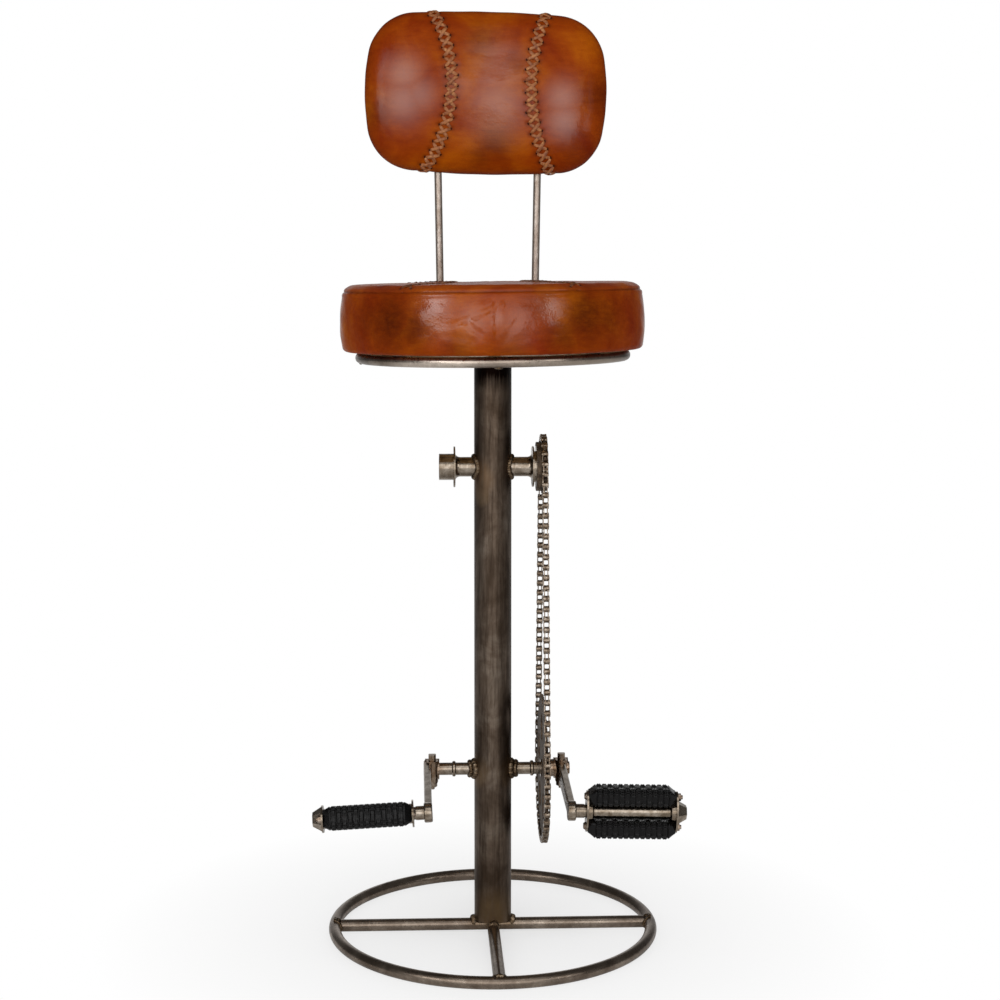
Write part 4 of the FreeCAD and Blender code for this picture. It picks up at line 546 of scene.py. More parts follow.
def pulledIn(cushion, holesAndShades, sizes):
    # the leather goes in towards each hole by a bell curve of the distance, and is darker there
    (depth, reach), (strength, spread) = sizes["dent"], sizes["burnish"]
    points = meshPoints(cushion.data)
    gap = np.full(len(points), 1.0)
    for hole in holesAndShades:
        gap = np.minimum(gap, np.linalg.norm(points - hole, axis=1))
    moveOut(cushion.data, -depth * bump(gap / mm, reach))
    burnish = np.empty(len(points), np.float32)
    stored = cushion.data.attributes["burnish"].data
    stored.foreach_get("value", burnish)
    dark = np.maximum(burnish, bump(gap / mm, reach * spread) * strength)
    stored.foreach_set("value", dark.astype(np.float32))


def backSeamPath(part, seam, side):
    # the seam's circle inside the outline; its depth is half an ellipse of the distance to the outline
    seamReach, seamSteps, edgeSteps = 0.75, 1500, 4000
    centreX, centreZ, radius = seam
    turn = np.linspace(-seamReach, seamReach, seamSteps)
    x, z = centreX + side * radius * np.cos(turn), centreZ + radius * np.sin(turn)
    edge = backOutline(part, 0)(np.linspace(0, 1, edgeSteps, endpoint=False))
    gap = np.hypot(x[:, None] - edge[None, :, 0], z[:, None] - edge[None, :, 1])
    inside = np.hypot(x, z) < np.hypot(*edge[gap.argmin(1)].T)
    x, z, gap = x[inside], z[inside], np.minimum(gap.min(1)[inside], part["edgeInset"])
    depth = part["thickness"] / 2 * np.sqrt(1 - (1 - gap / part["edgeInset"]) ** 2)
    front = np.stack([x, -depth, z], -1)
    return placed(np.concatenate([front, front[::-1] * [1, -1, 1]]), part)


def seatSeamPath(part, seam, side):
    # the seam's circle inside the rim seam; its height falls on the shoulder by a quarter circle
    seamReach, seamSteps, rimGap = 1.2, 800, 5
    centre, radius = seam
    turn = np.linspace(-seamReach, seamReach, seamSteps)
    x, y = centre + side * radius * np.cos(turn), radius * np.sin(turn)
    keep = np.hypot(x, y) < seatSeamRadius - rimGap
    x, y = x[keep], y[keep]
    over = clipped((np.hypot(x, y) - part["radius"] + part["shoulder"]) / part["shoulder"])
    z = part["height"] - part["shoulder"] * (1 - np.sqrt(1 - over ** 2)) + part["lift"]
    return placed(np.stack([x, y, z], -1), part)


laces = []
for label, side in (("left", 1), ("right", -1)):
    path = backSeamPath(backCushion, backCushion[label + "Seam"], side)
    laces.append(makeLacing("backrest_lacing_" + label, back, path, True, lacingSizes))
for label, side in (("left", 1), ("right", -1)):
    path = seatSeamPath(seatCushion, seatCushion[label + "Seam"], side)
    laces.append(makeLacing("seat_lacing_" + label, seat, path, False, seatLacing))
print("lacing:", sum(len(lacing.data.polygons) for lacing, holesAndShades in laces), "faces")


# Weld beads: a tube of weld metal along the joint, rippled where each drop froze on the last

weldSizes = {
    "post": 23.35, "sides": 12, "pitch": 2.4, "rodRipples": 13, "footRipples": 5, "taper": 0.12,
    "collarSteps": 240, "rodSteps": 160, "footSteps": 70, "footShare": 0.99,
    # height, shaft radius and bead size; the spindle's second bead is further out by its first number
    "hub": (592.6, 12.25, 3.3), "spindle": (208.9, 7.75, 4.4), "spindleCap": (6.0, 2.8),
    # ring radius, rod radius, height of ring and bar, size of the beads at the rods' ends and at the post
    "base": (200.4, 7.5, 7.1, 7.9, 2.3, 4.4), "seat": (164.3, 6.5, 0, 0, 2.0, 2.6),
    "baseLimits": (0.3, 40), "seatLimits": (-20, 6.2),        # lowest and highest point at the rods' ends
    # swell of each ripple and of half a ripple, their lean, and two slow uneven waves
    "ripple": (0.06, 0.03, 0.2), "uneven": (0.09, 0.05),
}


def axis(direction, shape):
    return np.broadcast_to(np.array(direction, float), shape)


def rippled(path, sideA, sideB, size, ripples, taper=0.0):
    # path point + radius * (cos f sideA + sin f sideB); the radius swells once a ripple, later at the crown
    (first, second, lean), (slow, fast) = weldSizes["ripple"], weldSizes["uneven"]
    share = np.linspace(0, 1, len(path), endpoint=taper > 0)[:, None]
    turn = np.arange(weldSizes["sides"])[None] * fullTurn / weldSizes["sides"]
    phase = fullTurn * (ripples * share + lean * np.cos(turn))
    way = share * np.pi
    uneven = slow * np.sin(6 * way + turn) * np.sin(10 * way + 1) + fast * np.sin(22 * way + 2 * turn)
    radius = size * (1 + first * np.cos(phase) + second * np.cos(2 * phase + 1) + uneven)
    if taper:
        radius = radius * np.sqrt(clipped(np.minimum(share, 1 - share) / taper))
    section = np.cos(turn)[..., None] * sideA[:, None] + np.sin(turn)[..., None] * sideB[:, None]
    return path[:, None] + radius[..., None] * section


def circleYZ(steps):
    turn = np.linspace(0, fullTurn, steps, endpoint=False)
    return np.stack([0 * turn, np.cos(turn), np.sin(turn)], -1)


def collarBead(side, height, radius, size, further=0):
    # round a shaft along X where it meets the upright tube: x = sqrt(post^2 - y^2), or that much further out
    post, out = weldSizes["post"], circleYZ(weldSizes["collarSteps"])
    path = out * (radius + size / 4) + np.array([0, 0, height])
    path[:, 0] = side * (further + np.sqrt(post ** 2 - np.minimum(path[:, 1] ** 2, post ** 2 - 1)))
    bead = rippled(path, out, axis((1, 0, 0), out.shape), size, round(fullTurn * radius / weldSizes["pitch"]))
    return bead * mm


def rodEndBead(angle, ring, rod, ringHeight, barHeight, size, limits):
    # round the end of a bar where it meets the inside of the ring, kept between two heights
    out = circleYZ(weldSizes["rodSteps"])
    path = out * (rod + size / 10)
    up = path[:, 2] + barHeight - ringHeight
    path[:, 0] = ring - np.sqrt(np.maximum(rod ** 2 - up ** 2, 0)) - path[:, 1] ** 2 / (2 * ring) - size / 10
    path[:, 2] += barHeight
    bead = rippled(path, out, axis((1, 0, 0), out.shape), size, weldSizes["rodRipples"])
    bead[..., 2] = np.clip(bead[..., 2], *limits)
    return turnedAboutZ(bead, angle)


def footBead(angle, rod, barHeight, size, rise):
    # across a bar along the foot or head of the tube: z = bar height + rise * sqrt(rod^2 - offset^2)
    offset = np.linspace(-rod, rod, weldSizes["footSteps"]) * weldSizes["footShare"]
    reach = np.sqrt((weldSizes["post"] + size / 5) ** 2 - offset ** 2)
    path = np.stack([reach, offset, barHeight + rise * np.sqrt(rod ** 2 - offset ** 2)], -1)
    out = unit(path * [1, 1, 0])
    bead = rippled(path, out, axis((0, 0, 1), out.shape), size, weldSizes["footRipples"], weldSizes["taper"])
    return turnedAboutZ(bead, angle)


def crossBeads(name, rise, frameOf):
    # four beads at the rods' ends in the ring and four where they pass the post
    ring, rod, ringHeight, barHeight, size, footSize = weldSizes[name]
    quarters = (0, 90, 180, 270)
    limits = weldSizes[name + "Limits"]
    beads = [rodEndBead(angle, ring, rod, ringHeight, barHeight, size, limits) for angle in quarters]
    beads += [footBead(angle, rod, barHeight, footSize, rise) for angle in quarters]
    return surfaceMesh(name + "_weld_beads", [(placed(bead, frameOf), True) for bead in beads])


hubBeads = surfaceMesh("hub_weld_beads", [(collarBead(side, *weldSizes["hub"]), True) for side in (-1, 1)])
height, radius, size = weldSizes["spindle"]
collars = [collarBead(side, height, radius, beadSize, further) for side in (-1, 1)
           for further, beadSize in ((0, size), weldSizes["spindleCap"])]
spindleBeads = surfaceMesh("spindle_weld_beads", [(collar, True) for collar in collars])
baseBeads = crossBeads("base", 1, {"origin": (0, 0, 0), "turnY": 0})
seatBeads = crossBeads("seat", -1, seatCushion)
print("weld beads done")


# Pedal blocks: moulded rubber with round ribs, each broken into knobs that step from rib to rib

pedalBlock = {
    "eye": {"left": (-83, -164.8, 200.84), "right": (86.4, -164.8, 200.84)},
    "droop": {"left": 3, "right": 1.5}, "spin": {"left": 16.2, "right": 95},
    "start": 19.02, "length": 103.96, "middle": 19.8, "wide": 22.5, "thick": 29, "least": 2,
    # the bevel's length, what it takes off the outer, the inner and the other faces, and its abrupt start
    "bevel": 9.5, "bevelOut": 8.5, "bevelIn": 1.0, "bevelSide": 5.5, "flatFrom": 6,
    "ribs": 13, "ribDepth": 2.5, "split": 0.7, "splitWidth": 0.09, "knobs": 7, "knobDepth": 1.6,
    "square": 0.4, "ribPower": 0.5, "knobPower": 0.45,       # powers of sine and cosine
    "ribPoints": 14, "bevelPoints": 27, "sides": 140,
}


def pedalPlace(side):
    # the frame of the pedal: droop about Y, facing outwards about Z, spin about its own X, in millimetres
    sign = 1 if side == "right" else -1
    place = Matrix.Rotation(math.radians(sign * pedalBlock["droop"][side]), 3, "Y")
    place = place @ Matrix.Rotation(0 if sign > 0 else math.pi, 3, "Z")
    place = place @ Matrix.Rotation(math.radians(pedalBlock["spin"][side]), 3, "X")
    return np.array(place), np.array(pedalBlock["eye"][side])


def powered(values, power):
    return np.sign(values) * np.abs(values) ** power


def blockPatch(block, side):
    # round the block: a square with rounded corners, a power of sine and cosine; along it: ribs, the square
    # root of a sine, each split by a finer groove and cut into knobs, and a straight bevel at both ends
    along = np.linspace(0, 1, block["ribPoints"] * block["ribs"] + block["bevelPoints"])[:, None]
    turn = np.linspace(0, fullTurn, block["sides"], endpoint=False)[None]
    y, z = powered(np.cos(turn), block["square"]), powered(np.sin(turn), block["square"])
    length, bevel = block["length"], block["bevel"]
    slope = clipped(1 - np.minimum(along, 1 - along) * length / bevel)
    phase = block["ribs"] * (along * length - bevel) / (length - 2 * bevel)
    inside = clipped(block["flatFrom"] * (1 - slope) - block["flatFrom"] + 1)
    rib = np.abs(np.sin(np.pi * phase)) ** block["ribPower"]
    split = bump(np.abs((phase % 1) - 0.5), block["splitWidth"])
    knob = np.abs(np.sin(turn * block["knobs"] + (np.floor(phase) % 2) * np.pi / 2)) ** block["knobPower"]
    crest = block["split"] * split + block["knobDepth"] * (1 - knob)
    dent = inside * (block["ribDepth"] * (1 - rib) + rib * crest)
    taken = block["bevelIn"] + (block["bevelOut"] - block["bevelIn"]) * clipped(y * side)
    across = side * block["middle"] + y * np.maximum(block["wide"] / 2 - slope * taken - dent, block["least"])
    up = z * np.maximum(block["thick"] / 2 - slope * block["bevelSide"] - dent, block["least"])
    grid = np.stack([np.broadcast_to(block["start"] + along * length, across.shape), across, up], -1)
    first, last = (axis((block["start"] + reach, side * block["middle"], 0), grid[:1].shape)
                   for reach in (0, length))
    return np.concatenate([first, grid, last])


rubbers = []
for side in ("left", "right"):
    turned, eye = pedalPlace(side)
    blocks = [((blockPatch(pedalBlock, place) @ turned.T + eye) * mm, True) for place in (-1, 1)]
    rubbers.append(surfaceMesh(side + "_pedal_blocks", blocks))
print("pedal blocks:", len(rubbers[0].data.polygons), "faces each")


# Materials

def fromHex(colour):
    # sRGB hex to linear
    share = [int(colour[k:k + 2], 16) / 255 for k in (1, 3, 5)]
    return [*(c / 12.92 if c <= 0.04045 else ((c + 0.055) / 1.055) ** 2.4 for c in share), 1.0]


def addNode(tree, kind, settings=None, wires=None):
    # settings are the node's own properties, its inputs' values, or a colour ramp's stops
    made = tree.nodes.new("ShaderNode" + kind)
    made.location = (230 * (len(tree.nodes) % 9) - 1600, 300 - 320 * (len(tree.nodes) // 9))
    for name, setting in (settings or {}).items():
        if name == "ramp":
            stops = made.color_ramp.elements
            stops.remove(stops[1])
            stops[0].position, stops[0].color = setting[0]
            for place, colour in setting[1:]:
                stops.new(place).color = colour
        elif isinstance(name, int) or name in made.inputs:
            made.inputs[name].default_value = setting
        else:
            setattr(made, name, setting)
    wire(tree, made, wires or {})
    return made


def wire(tree, made, wires):
    for name, source in wires.items():
        tree.links.new(source, made.inputs[name])


def setInputs(made, values):
    for name, number in values.items():
        made.inputs[name].default_value = number


def newMaterial(name):
    material = bpy.data.materials.new(name)
    material.use_nodes = True
    tree = material.node_tree
    return material, tree, tree.nodes["Principled BSDF"], addNode(tree, "TexCoord").outputs["Object"]


def noise(tree, at, featureMm, detail, roughness=0.5, distortion=0.0):
    # the scale comes from the size of the pattern's features in millimetres
    settings = {"Scale": 1 / (featureMm * mm), "Detail": detail, "Roughness": roughness,
                "Distortion": distortion}
    return addNode(tree, "TexNoise", settings, {"Vector": at}).outputs["Fac"]


def grit(tree, at, feature, featureMm):
    settings = {"feature": feature, "Scale": 1 / (featureMm * mm)}
    return addNode(tree, "TexVoronoi", settings, {"Vector": at})


def stretched(tree, at, scale):
    return addNode(tree, "Mapping", {"Scale": scale}, {"Vector": at}).outputs["Vector"]


def ranged(tree, source, low, high, toLow, toHigh):
    limits = {"From Min": low, "From Max": high, "To Min": toLow, "To Max": toHigh}
    return addNode(tree, "MapRange", limits, {"Value": source}).outputs[0]


def sums(tree, operation, *terms, clamp=True):
    # a term is a number or another node's output
    numbers = {place: term for place, term in enumerate(terms) if isinstance(term, (int, float))}
    wires = {place: term for place, term in enumerate(terms) if place not in numbers}
    return addNode(tree, "Math", {"operation": operation, "use_clamp": clamp, **numbers}, wires).outputs[0]


def toned(tree, source, tones, stops):
    ramp = [(stop, fromHex(tone)) for stop, tone in zip(stops, tones)]
    return addNode(tree, "ValToRGB", {"ramp": ramp}, {"Fac": source}).outputs["Color"]


def tinted(tree, colour, tint, share, blend="MIX"):
    settings = {"data_type": "RGBA", "blend_type": blend, 7: fromHex(tint)}
    return addNode(tree, "Mix", settings, {0: share, 6: colour}).outputs[2]


def relief(tree, height, strength, distance, under=None):
    wires = {"Height": height} if under is None else {"Height": height, "Normal": under}
    return addNode(tree, "Bump", {"Strength": strength, "Distance": distance}, wires).outputs["Normal"]


# Vegetable-tanned cowhide, dyed by hand and waxed: mottled tan to red-brown, dark where it is handled and
# burnished and with painted shade along the seat's rim seam, paler and pinker where it is rubbed, with a fine
# pebbled grain under a soft polish
leatherLook = {
    "tones": ("#7a2501", "#903b02", "#a55203"), "stops": (0.3, 0.5, 0.68),
    "burntAndShade": "#360a00", "worn": "#8c3e12",
    # patterns: size in mm, detail, roughness, distortion; the pebbled grain is really 0.8 mm
    "mottle": (70, 7, 0.55, 0.4), "brush": (9, 6, 0.7), "brushStretch": (0.35, 1, 1.6), "pores": (1.1, 3),
    "swell": (14, 3), "grainMm": 2.2, "grainSmooth": 0.6,
    # a pattern's own range, and the range that it becomes
    "streak": (0.35, 0.7, 0.0, 0.35), "streakTint": "#b98d70", "patchy": (0.3, 0.62, 0.75, 1.0), "dirtAndShade": 0.8,
    "roughness": (0.3, 0.7, 0.45, 0.6), "wornMottle": (0.9, -0.25), "wornShare": 0.45,
    "specular": 0.04, "waxRoughness": 0.17, "waxIor": 1.66,
    # strength and distance in metres
    "swellRelief": (0.22, 0.003), "grainRelief": (0.16, 0.0006), "poreRelief": (0.15, 0.0004),
}


def makeLeather(name, look):
    material, tree, shader, at = newMaterial(name)
    mottle = noise(tree, at, *look["mottle"])
    brush = noise(tree, stretched(tree, at, look["brushStretch"]), *look["brush"])
    tone = toned(tree, mottle, look["tones"], look["stops"])
    tone = tinted(tree, tone, look["streakTint"], ranged(tree, brush, *look["streak"]), "MULTIPLY")
    wear, stain, burnish = (addNode(tree, "Attribute", {"attribute_name": share}).outputs["Fac"]
                            for share in ("wear", "stain", "burnish"))
    uneven = sums(tree, "MULTIPLY_ADD", mottle, *look["wornMottle"], clamp=False)
    rubbed = sums(tree, "MULTIPLY", sums(tree, "MULTIPLY_ADD", wear, look["wornShare"], uneven), wear)
    tone = tinted(tree, tone, look["worn"], rubbed)
    # stains and burnish darken the tone; the burnish share also holds the painted shade along the seat's rim
    # seam
    handledAndShaded = sums(tree, "MAXIMUM", stain, burnish)
    dirtAndShade = sums(tree, "MULTIPLY", handledAndShaded, ranged(tree, brush, *look["patchy"]))
    tone = tinted(tree, tone, look["burntAndShade"], sums(tree, "MULTIPLY", dirtAndShade, look["dirtAndShade"]))
    pebble = grit(tree, at, "SMOOTH_F1", look["grainMm"])
    setInputs(pebble, {"Smoothness": look["grainSmooth"]})
    swell = relief(tree, noise(tree, at, *look["swell"]), *look["swellRelief"])
    grain = relief(tree, pebble.outputs["Distance"], *look["grainRelief"], swell)
    fine = relief(tree, noise(tree, at, *look["pores"]), *look["poreRelief"], grain)
    wire(tree, shader, {"Base Color": tone, "Roughness": ranged(tree, brush, *look["roughness"]),
                        "Coat Weight": wear, "Normal": fine, "Coat Normal": grain})
    setInputs(shader, {"Specular IOR Level": look["specular"], "Coat Roughness": look["waxRoughness"],
                       "Coat IOR": look["waxIor"]})
    return material


leather = makeLeather("veg_tanned_cowhide", leatherLook)

# Metals: one recipe with blotches of patina, drawn or cast grain, heat tint near welds, and rust; some steels
# also carry round marks of painted shade and painted highlight, made like the heat tint.
# Patterns: detail, roughness and distortion; a mark is full inside its first share of the reach
steelPattern = {"blotch": (6, 0.6, 0.5), "grain": (5, 0.65), "pits": (4, 0.6), "stops": (0.36, 0.52, 0.68),
                "grainRange": (0.42, 0.68), "roughRange": (0.3, 0.7), "markCore": 0.45, "heatStrength": 0.85,
                "reliefDistance": 0.0004}


def makeSteel(name, look):
    material, tree, shader, at = newMaterial(name)
    pattern = steelPattern
    drawn = stretched(tree, at, look["stretch"])
    grain = noise(tree, drawn, look["grainMm"], *pattern["grain"])
    blotch = noise(tree, at, look["blotchMm"], *pattern["blotch"])
    colour = toned(tree, blotch, look["tones"], pattern["stops"])
    grainy = ranged(tree, grain, *pattern["grainRange"], 0.0, look["grainTint"])
    colour = tinted(tree, colour, look["stain"], grainy)
    for centre, reach, tint, *strength in look["heatAndPaintedLight"]:
        middle = tuple(c * mm for c in centre)
        gap = addNode(tree, "VectorMath", {"operation": "DISTANCE", 1: middle}, {0: at})
        most = strength[0] if strength else pattern["heatStrength"]
        near = ranged(tree, gap.outputs["Value"], reach * pattern["markCore"] * mm, reach * mm, most, 0.0)
        colour = tinted(tree, colour, tint, sums(tree, "MULTIPLY", near, grain))
    pits = noise(tree, drawn, look["pitMm"], *pattern["pits"])
    surface = relief(tree, pits, look["bump"], pattern["reliefDistance"])
    wire(tree, shader, {"Base Color": colour, "Normal": surface,
                        "Roughness": ranged(tree, grain, *pattern["roughRange"], *look["roughness"])})
    setInputs(shader, {"Metallic": look["metallic"]})
    return material


# what most of the steels share; stretch is along X, Y and Z, and a mark of heat tint, painted shade or
# painted highlight has a middle, a reach and a tint
anySteel = {"stretch": (1, 1, 1), "grainTint": 0.6, "pitMm": 1.2, "metallic": 1.0, "heatAndPaintedLight": []}
steelLooks = {
    # seam-welded mild steel tube, blackened and oiled: nearly black brown with upright grey streaks
    "blackened_steel_tube": {
        **anySteel, "tones": ("#42362c", "#5c4f44", "#786c60"), "stain": "#2c221a", "blotchMm": 60,
        "stretch": (1, 1, 0.08), "grainMm": 4, "grainTint": 0.7, "pitMm": 1.6, "bump": 0.2,
        "roughness": (0.34, 0.48),
        "heatAndPaintedLight": [((-20, -13, 578), 26, "#98795a", 0.55), ((-23, -6, 592), 26, "#86694d", 0.6),
                 ((-16, -17, 556), 14, "#947a5c", 0.5), ((24, 0, 592), 26, "#5a3c26"),
                 ((-23, -8, 209), 26, "#7a5f3d"), ((23, -8, 209), 26, "#7a5f3d"),
                 # a heat tint at the foot; then painted shade, near black, on the post's top under the seat
                 ((0, -22, 20), 46, "#6e583c"), ((0, 0, 744), 62, "#0d0604", 3.5)]},
    # hot-rolled round bar bent into rings, wire-brushed and lacquered: grey-brown, with painted highlights
    # on the seat ring's front
    "brushed_steel_rod": {
        **anySteel, "tones": ("#6c5f54", "#83766a", "#9d9083"), "stain": "#5f5144", "blotchMm": 40,
        "grainMm": 5, "grainTint": 0.4, "pitMm": 1.4, "bump": 0.15, "roughness": (0.24, 0.38),
        # a heat tint at the base; then three pale painted highlights along the seat ring's front
        "heatAndPaintedLight": [((0, 0, 8), 40, "#6e583c"), ((-75, -150, 728), 75, "#d6c8ba", 1.4),
                 ((45, -165, 729), 66, "#b8aa9c", 1.1), ((120, -125, 730), 60, "#aa9c8e", 1.0)]},
    # cold-drawn bright bar, bare: pale pinkish steel gone dull and mottled
    "cold_drawn_bar": {
        **anySteel, "tones": ("#9c8d81", "#b3a69b", "#c6bbb2"), "stain": "#9c8674", "blotchMm": 14,
        "stretch": (1, 1, 0.35), "grainMm": 3, "grainTint": 0.5, "bump": 0.2, "roughness": (0.36, 0.52)},
    # mild steel weld metal, wire-brushed: golden brown scale in the ripples
    "weld_metal": {
        **anySteel, "tones": ("#463829", "#6e5d4a", "#978976"), "stain": "#523c28", "blotchMm": 5,
        "grainMm": 1.8, "grainTint": 0.5, "pitMm": 1.8, "bump": 0.45, "roughness": (0.3, 0.55)},
    # nickel-plated forgings worn through to brown steel: bright where rubbed, brown in the hollows
    "worn_nickel_plate": {
        **anySteel, "tones": ("#726556", "#908476", "#ada295"), "stain": "#5c4b37", "blotchMm": 12,
        "grainMm": 3, "grainTint": 0.4, "pitMm": 1.6, "bump": 0.05, "roughness": (0.12, 0.26),
        "heatAndPaintedLight": [((-84, 0, 212), 30, "#6d4420"), ((86, 0, 212), 30, "#6d4420"),
                 ((-30, 0, 600), 16, "#6e583c")]},
    # pressed steel wheels under years of oil and dust: dull brown, only the teeth rubbed clean
    "greased_plate": {
        **anySteel, "tones": ("#33261a", "#52402e", "#73614c"), "stain": "#2b1f14", "blotchMm": 9,
        "grainMm": 2.5, "pitMm": 1.6, "bump": 0.3, "roughness": (0.55, 0.75), "metallic": 0.3},
    # hardened chain steel with old oil: dark brown plates, pins rubbed bright
    "oiled_chain_steel": {
        **anySteel, "tones": ("#4d3f33", "#857666", "#b9ad9f"), "stain": "#4c3c2e", "blotchMm": 4,
        "grainMm": 1.6, "bump": 0.12, "roughness": (0.18, 0.34)},
    # bare steel screws and bearing parts: bright with specks of rust
    "bright_steel": {
        **anySteel, "tones": ("#65584c", "#8a7e72", "#ada398"), "stain": "#7c5230", "blotchMm": 5,
        "grainMm": 1.5, "bump": 0.12, "roughness": (0.2, 0.36)},
}
steels = {name: makeSteel(name, look) for name, look in steelLooks.items()}

simplePattern = {"blotch": (6, 0.65), "stops": (0.35, 0.55, 0.72), "roughRange": (0.3, 0.7), "gritDepth": 0.4}


def makeSimple(name, look):
    # a matt material of three tones in blotches, with a bump of its own grit size
    material, tree, shader, at = newMaterial(name)
    pattern = simplePattern
    drawn = stretched(tree, at, look.get("stretch", (1, 1, 1)))
    blotch = noise(tree, drawn, look["blotchMm"], *pattern["blotch"])
    grains = grit(tree, drawn, "F1", look["gritMm"]).outputs["Distance"]
    surface = relief(tree, grains, look["bump"], look["gritMm"] * pattern["gritDepth"] * mm)
    wire(tree, shader, {"Base Color": toned(tree, blotch, look["tones"], pattern["stops"]), "Normal": surface,
                        "Roughness": ranged(tree, blotch, *pattern["roughRange"], *look["roughness"])})
    setInputs(shader, {"Specular IOR Level": look["specular"]})
    return material


plainLooks = {
    # moulded natural rubber, old: near black
    "moulded_rubber": {"tones": ("#030202", "#070606", "#110f10"), "blotchMm": 3, "gritMm": 1.6, "bump": 0.2,
                       "roughness": (0.16, 0.28), "specular": 0.2},
    # waxed calf lace, hand-cut: lighter tan than the hide, with darker creases
    "waxed_lace": {"tones": ("#743a1a", "#9d6034", "#bf8652"), "blotchMm": 6, "gritMm": 1.0, "bump": 0.35,
                   "roughness": (0.4, 0.6), "specular": 0.4},
    # the same lace on the seat, darker: painted shade of the lace seen at a grazing angle
    "waxed_lace_painted_shade": {"tones": ("#4f2610", "#73421f", "#93613a"), "blotchMm": 6, "gritMm": 1.0,
                        "bump": 0.35, "roughness": (0.4, 0.6), "specular": 0.3},
    # painted shade of an awl hole in dyed leather: almost black
    "painted_hole_shade": {"tones": ("#260a03", "#330f05", "#451809"), "blotchMm": 2, "gritMm": 0.8, "bump": 0.3,
                 "roughness": (0.7, 0.9), "specular": 0.1},
    # birch plywood, sawn: straw with long grain
    "birch_plywood": {"tones": ("#a5835a", "#c4a477", "#d8bd94"), "blotchMm": 12, "stretch": (0.1, 1, 1),
                      "gritMm": 1.5, "bump": 0.2, "roughness": (0.55, 0.75), "specular": 0.4},
}
plains = {name: makeSimple(name, look) for name, look in plainLooks.items()}

materialOf = {"ring_steel": steels["brushed_steel_rod"], "post_steel": steels["blackened_steel_tube"],
              "rod_steel": steels["cold_drawn_bar"], "weld_steel": steels["weld_metal"],
              "cycle_steel": steels["worn_nickel_plate"], "chain_steel": steels["oiled_chain_steel"],
              "bright_steel": steels["bright_steel"], "pedal_rubber": plains["moulded_rubber"],
              "plywood": plains["birch_plywood"]}
greased = ("chainring", "freewheel_sprocket")


def dress(piece, material):
    piece.data.materials.clear()
    piece.data.materials.append(material)


slotOf = {part["node"]: part["material_slot"] for part in frame["record"]["subparts"]}
for name, node in nodes.items():
    material = steels["greased_plate"] if name in greased else materialOf.get(slotOf.get(name), leather)
    if len(node.data.materials) == 0:
        node.data.materials.append(material)
    for place in range(len(node.data.materials)):
        node.data.materials[place] = material

dress(seat, leather)
dress(back, leather)
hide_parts("seat_cover_side", "seat_cover_middle", "seat_cover_sides", "seat_foam")
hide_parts("backrest_cover_middle", "backrest_cover_sides", "backrest_foam")
for cushion, slot, fill in ((seat, "seat_leather", 0.9), (back, "back_leather", 0.9)):
    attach(cushion, "frame")
# each lacing's holes are dark lenses of painted shade
for lacing, holesAndShades in laces:
    onBack = lacing.name.startswith("back")
    dress(lacing, plains["waxed_lace" if onBack else "waxed_lace_painted_shade"])
    dress(holesAndShades, plains["painted_hole_shade"])
    slot = "back_leather" if onBack else "seat_leather"
    for piece in (lacing, holesAndShades):
        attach(piece, "frame")
for beads, node in ((hubBeads, "hub_welds"), (spindleBeads, "spindle_welds"), (baseBeads, "base_welds"),
                    (seatBeads, "seat_welds")):
    dress(beads, steels["weld_metal"])
    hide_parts(node)
    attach(beads, "frame")
for side, blocks in zip(("left", "right"), rubbers):
    dress(blocks, plains["moulded_rubber"])
    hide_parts(side + "_pedal_rubbers")
    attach(blocks, side + "_pedal")
print("materials done")


# Studio: pale floor, soft lamps, white world

studio = {
    # place, width and height, watts, and whether polished surfaces mirror it
    "lamps": {"front_lamp": ((-0.3, -3.1, 1.2), (4.2, 2.2), 54, True),
              "left_lamp": ((-2.4, -2.3, 1.5), (0.9, 1.5), 14, True),
              "right_lamp": ((2.4, -2.3, 1.5), (0.8, 1.5), 10, True),
              "top_lamp": ((0.0, -1.9, 2.8), (2.8, 1.4), 16, True),
              "back_lamp": ((0.2, 3.2, 1.5), (2.2, 1.4), 26, False)},
    "aim": (0, 0, 0.8), "ambient": 0.3, "gloom": 0.12, "backdrop": (0.85, 0.995),
    # half size and depth of the floor in metres, its paper, and its glow near the stool and further out
    "floorReach": 6, "floorDrop": 0.0002, "paper": "#f4f4f4", "paperRoughness": 0.9, "paperSpecular": 0.1,
    "glow": (0.05, 0.5, 0.62, 1.0), "mirroredFloor": 0.18,
    # fitted to the photograph: lens and sensor in mm, shift, place in metres, tilt and yaw in degrees
    "lens": 68.29, "sensor": 36, "shift": (0.0072, -0.0839), "camera": (-0.09881, -2.35753, 0.8383),
    "tilt": 85.581, "yaw": -2.4,
}
for name, (spot, size, power, mirrored) in studio["lamps"].items():
    lamp = bpy.data.lights.new(name, "AREA")
    lamp.shape, lamp.size, lamp.size_y, lamp.energy = "RECTANGLE", *size, power
    holder = bpy.data.objects.new(name, lamp)
    holder.location = spot
    holder.rotation_euler = (Vector(studio["aim"]) - Vector(spot)).to_track_quat("-Z", "Y").to_euler()
    holder.visible_glossy = mirrored
    scene.collection.objects.link(holder)


def shownRays(tree):
    # 1 for what the camera sees, and apart from that 1 for what polished metal mirrors
    rays = addNode(tree, "LightPath").outputs
    return sums(tree, "MAXIMUM", rays["Is Camera Ray"], rays["Is Transmission Ray"]), rays["Is Glossy Ray"]


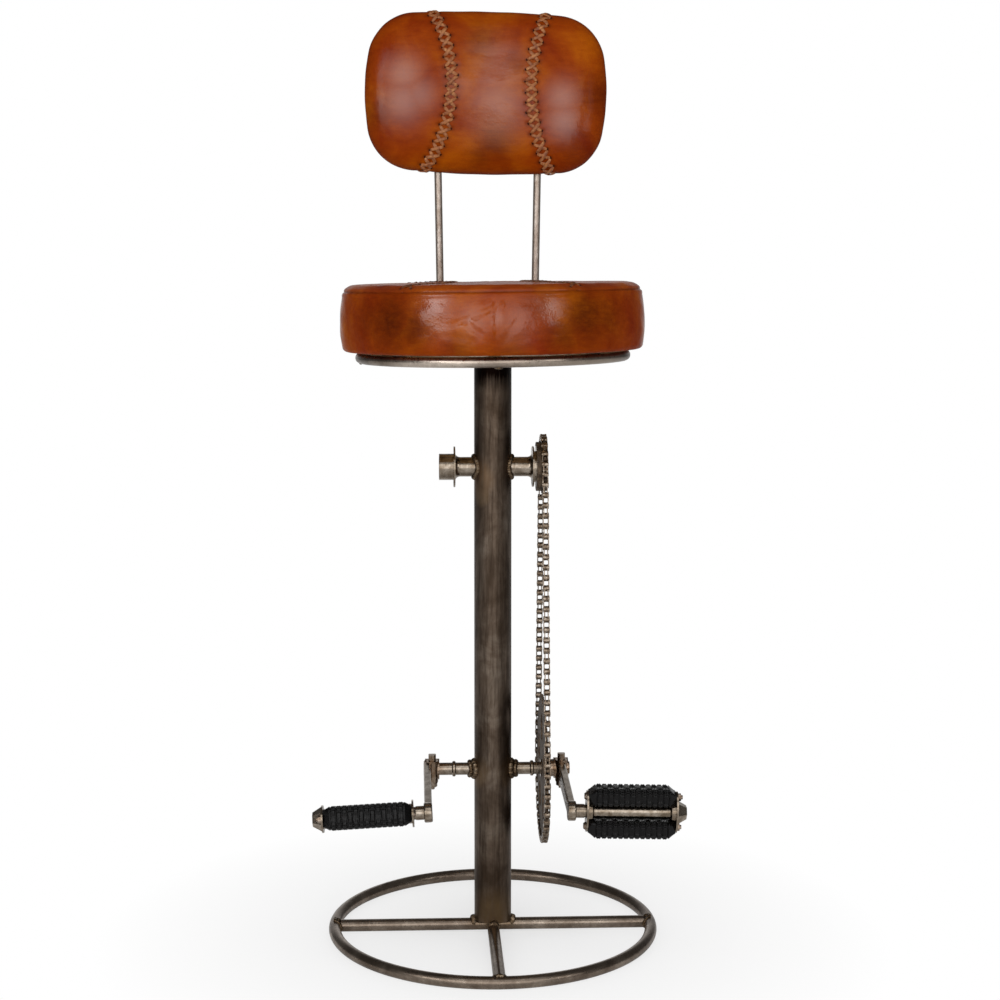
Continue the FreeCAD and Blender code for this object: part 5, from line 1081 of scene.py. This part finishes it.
world = bpy.data.worlds.new("studio")
scene.world = world
world.use_nodes = True
tree = world.node_tree
tree.nodes.clear()
shown, glossy = shownRays(tree)
direction = addNode(tree, "TexCoord").outputs["Generated"]
north = addNode(tree, "SeparateXYZ", {}, {"Vector": direction}).outputs["Y"]
# polished metal sees the white backdrop behind, and the dimmer room in front between the lamps
room = ranged(tree, north, *studio["backdrop"], studio["gloom"], 1.0)
dim = addNode(tree, "Mix", {"data_type": "FLOAT", 2: studio["ambient"]}, {0: glossy, 3: room}).outputs[0]
level = addNode(tree, "Mix", {"data_type": "FLOAT", 3: 1.0}, {0: shown, 2: dim}).outputs[0]
light = addNode(tree, "Background", {"Color": (1, 1, 1, 1)}, {"Strength": level})
addNode(tree, "OutputWorld", {}, {"Surface": light.outputs[0]})

places = np.linspace(-studio["floorReach"], studio["floorReach"], 3)
spread = np.stack(np.meshgrid(places, places, indexing="ij") + [np.full((3, 3), -studio["floorDrop"])], -1)
floor = surfaceMesh("studio_floor", [(spread, False)])
paper, tree, shader, at = newMaterial("white_paper")
gap = addNode(tree, "VectorMath", {"operation": "LENGTH"}, {0: at}).outputs["Value"]
shown, glossy = shownRays(tree)
shown = sums(tree, "MAXIMUM", shown, sums(tree, "MULTIPLY", glossy, studio["mirroredFloor"]))
seen = sums(tree, "MULTIPLY", ranged(tree, gap, *studio["glow"]), shown)
glow = addNode(tree, "Emission", {"Color": (1, 1, 1, 1), "Strength": 1.0})
setInputs(shader, {"Base Color": fromHex(studio["paper"]), "Roughness": studio["paperRoughness"],
                   "Specular IOR Level": studio["paperSpecular"]})
both = addNode(tree, "MixShader", {}, {0: seen, 1: shader.outputs[0], 2: glow.outputs[0]})
tree.links.new(both.outputs[0], tree.nodes["Material Output"].inputs["Surface"])
dress(floor, paper)

camera = bpy.data.cameras.new("photo_camera")
camera.lens, camera.sensor_width = studio["lens"], studio["sensor"]
camera.shift_x, camera.shift_y = studio["shift"]
holder = bpy.data.objects.new("photo_camera", camera)
holder.location = studio["camera"]
holder.rotation_euler = (math.radians(studio["tilt"]), 0, math.radians(studio["yaw"]))
scene.collection.objects.link(holder)
scene.camera = holder
scene.view_settings.view_transform = "Standard"
print("studio done")
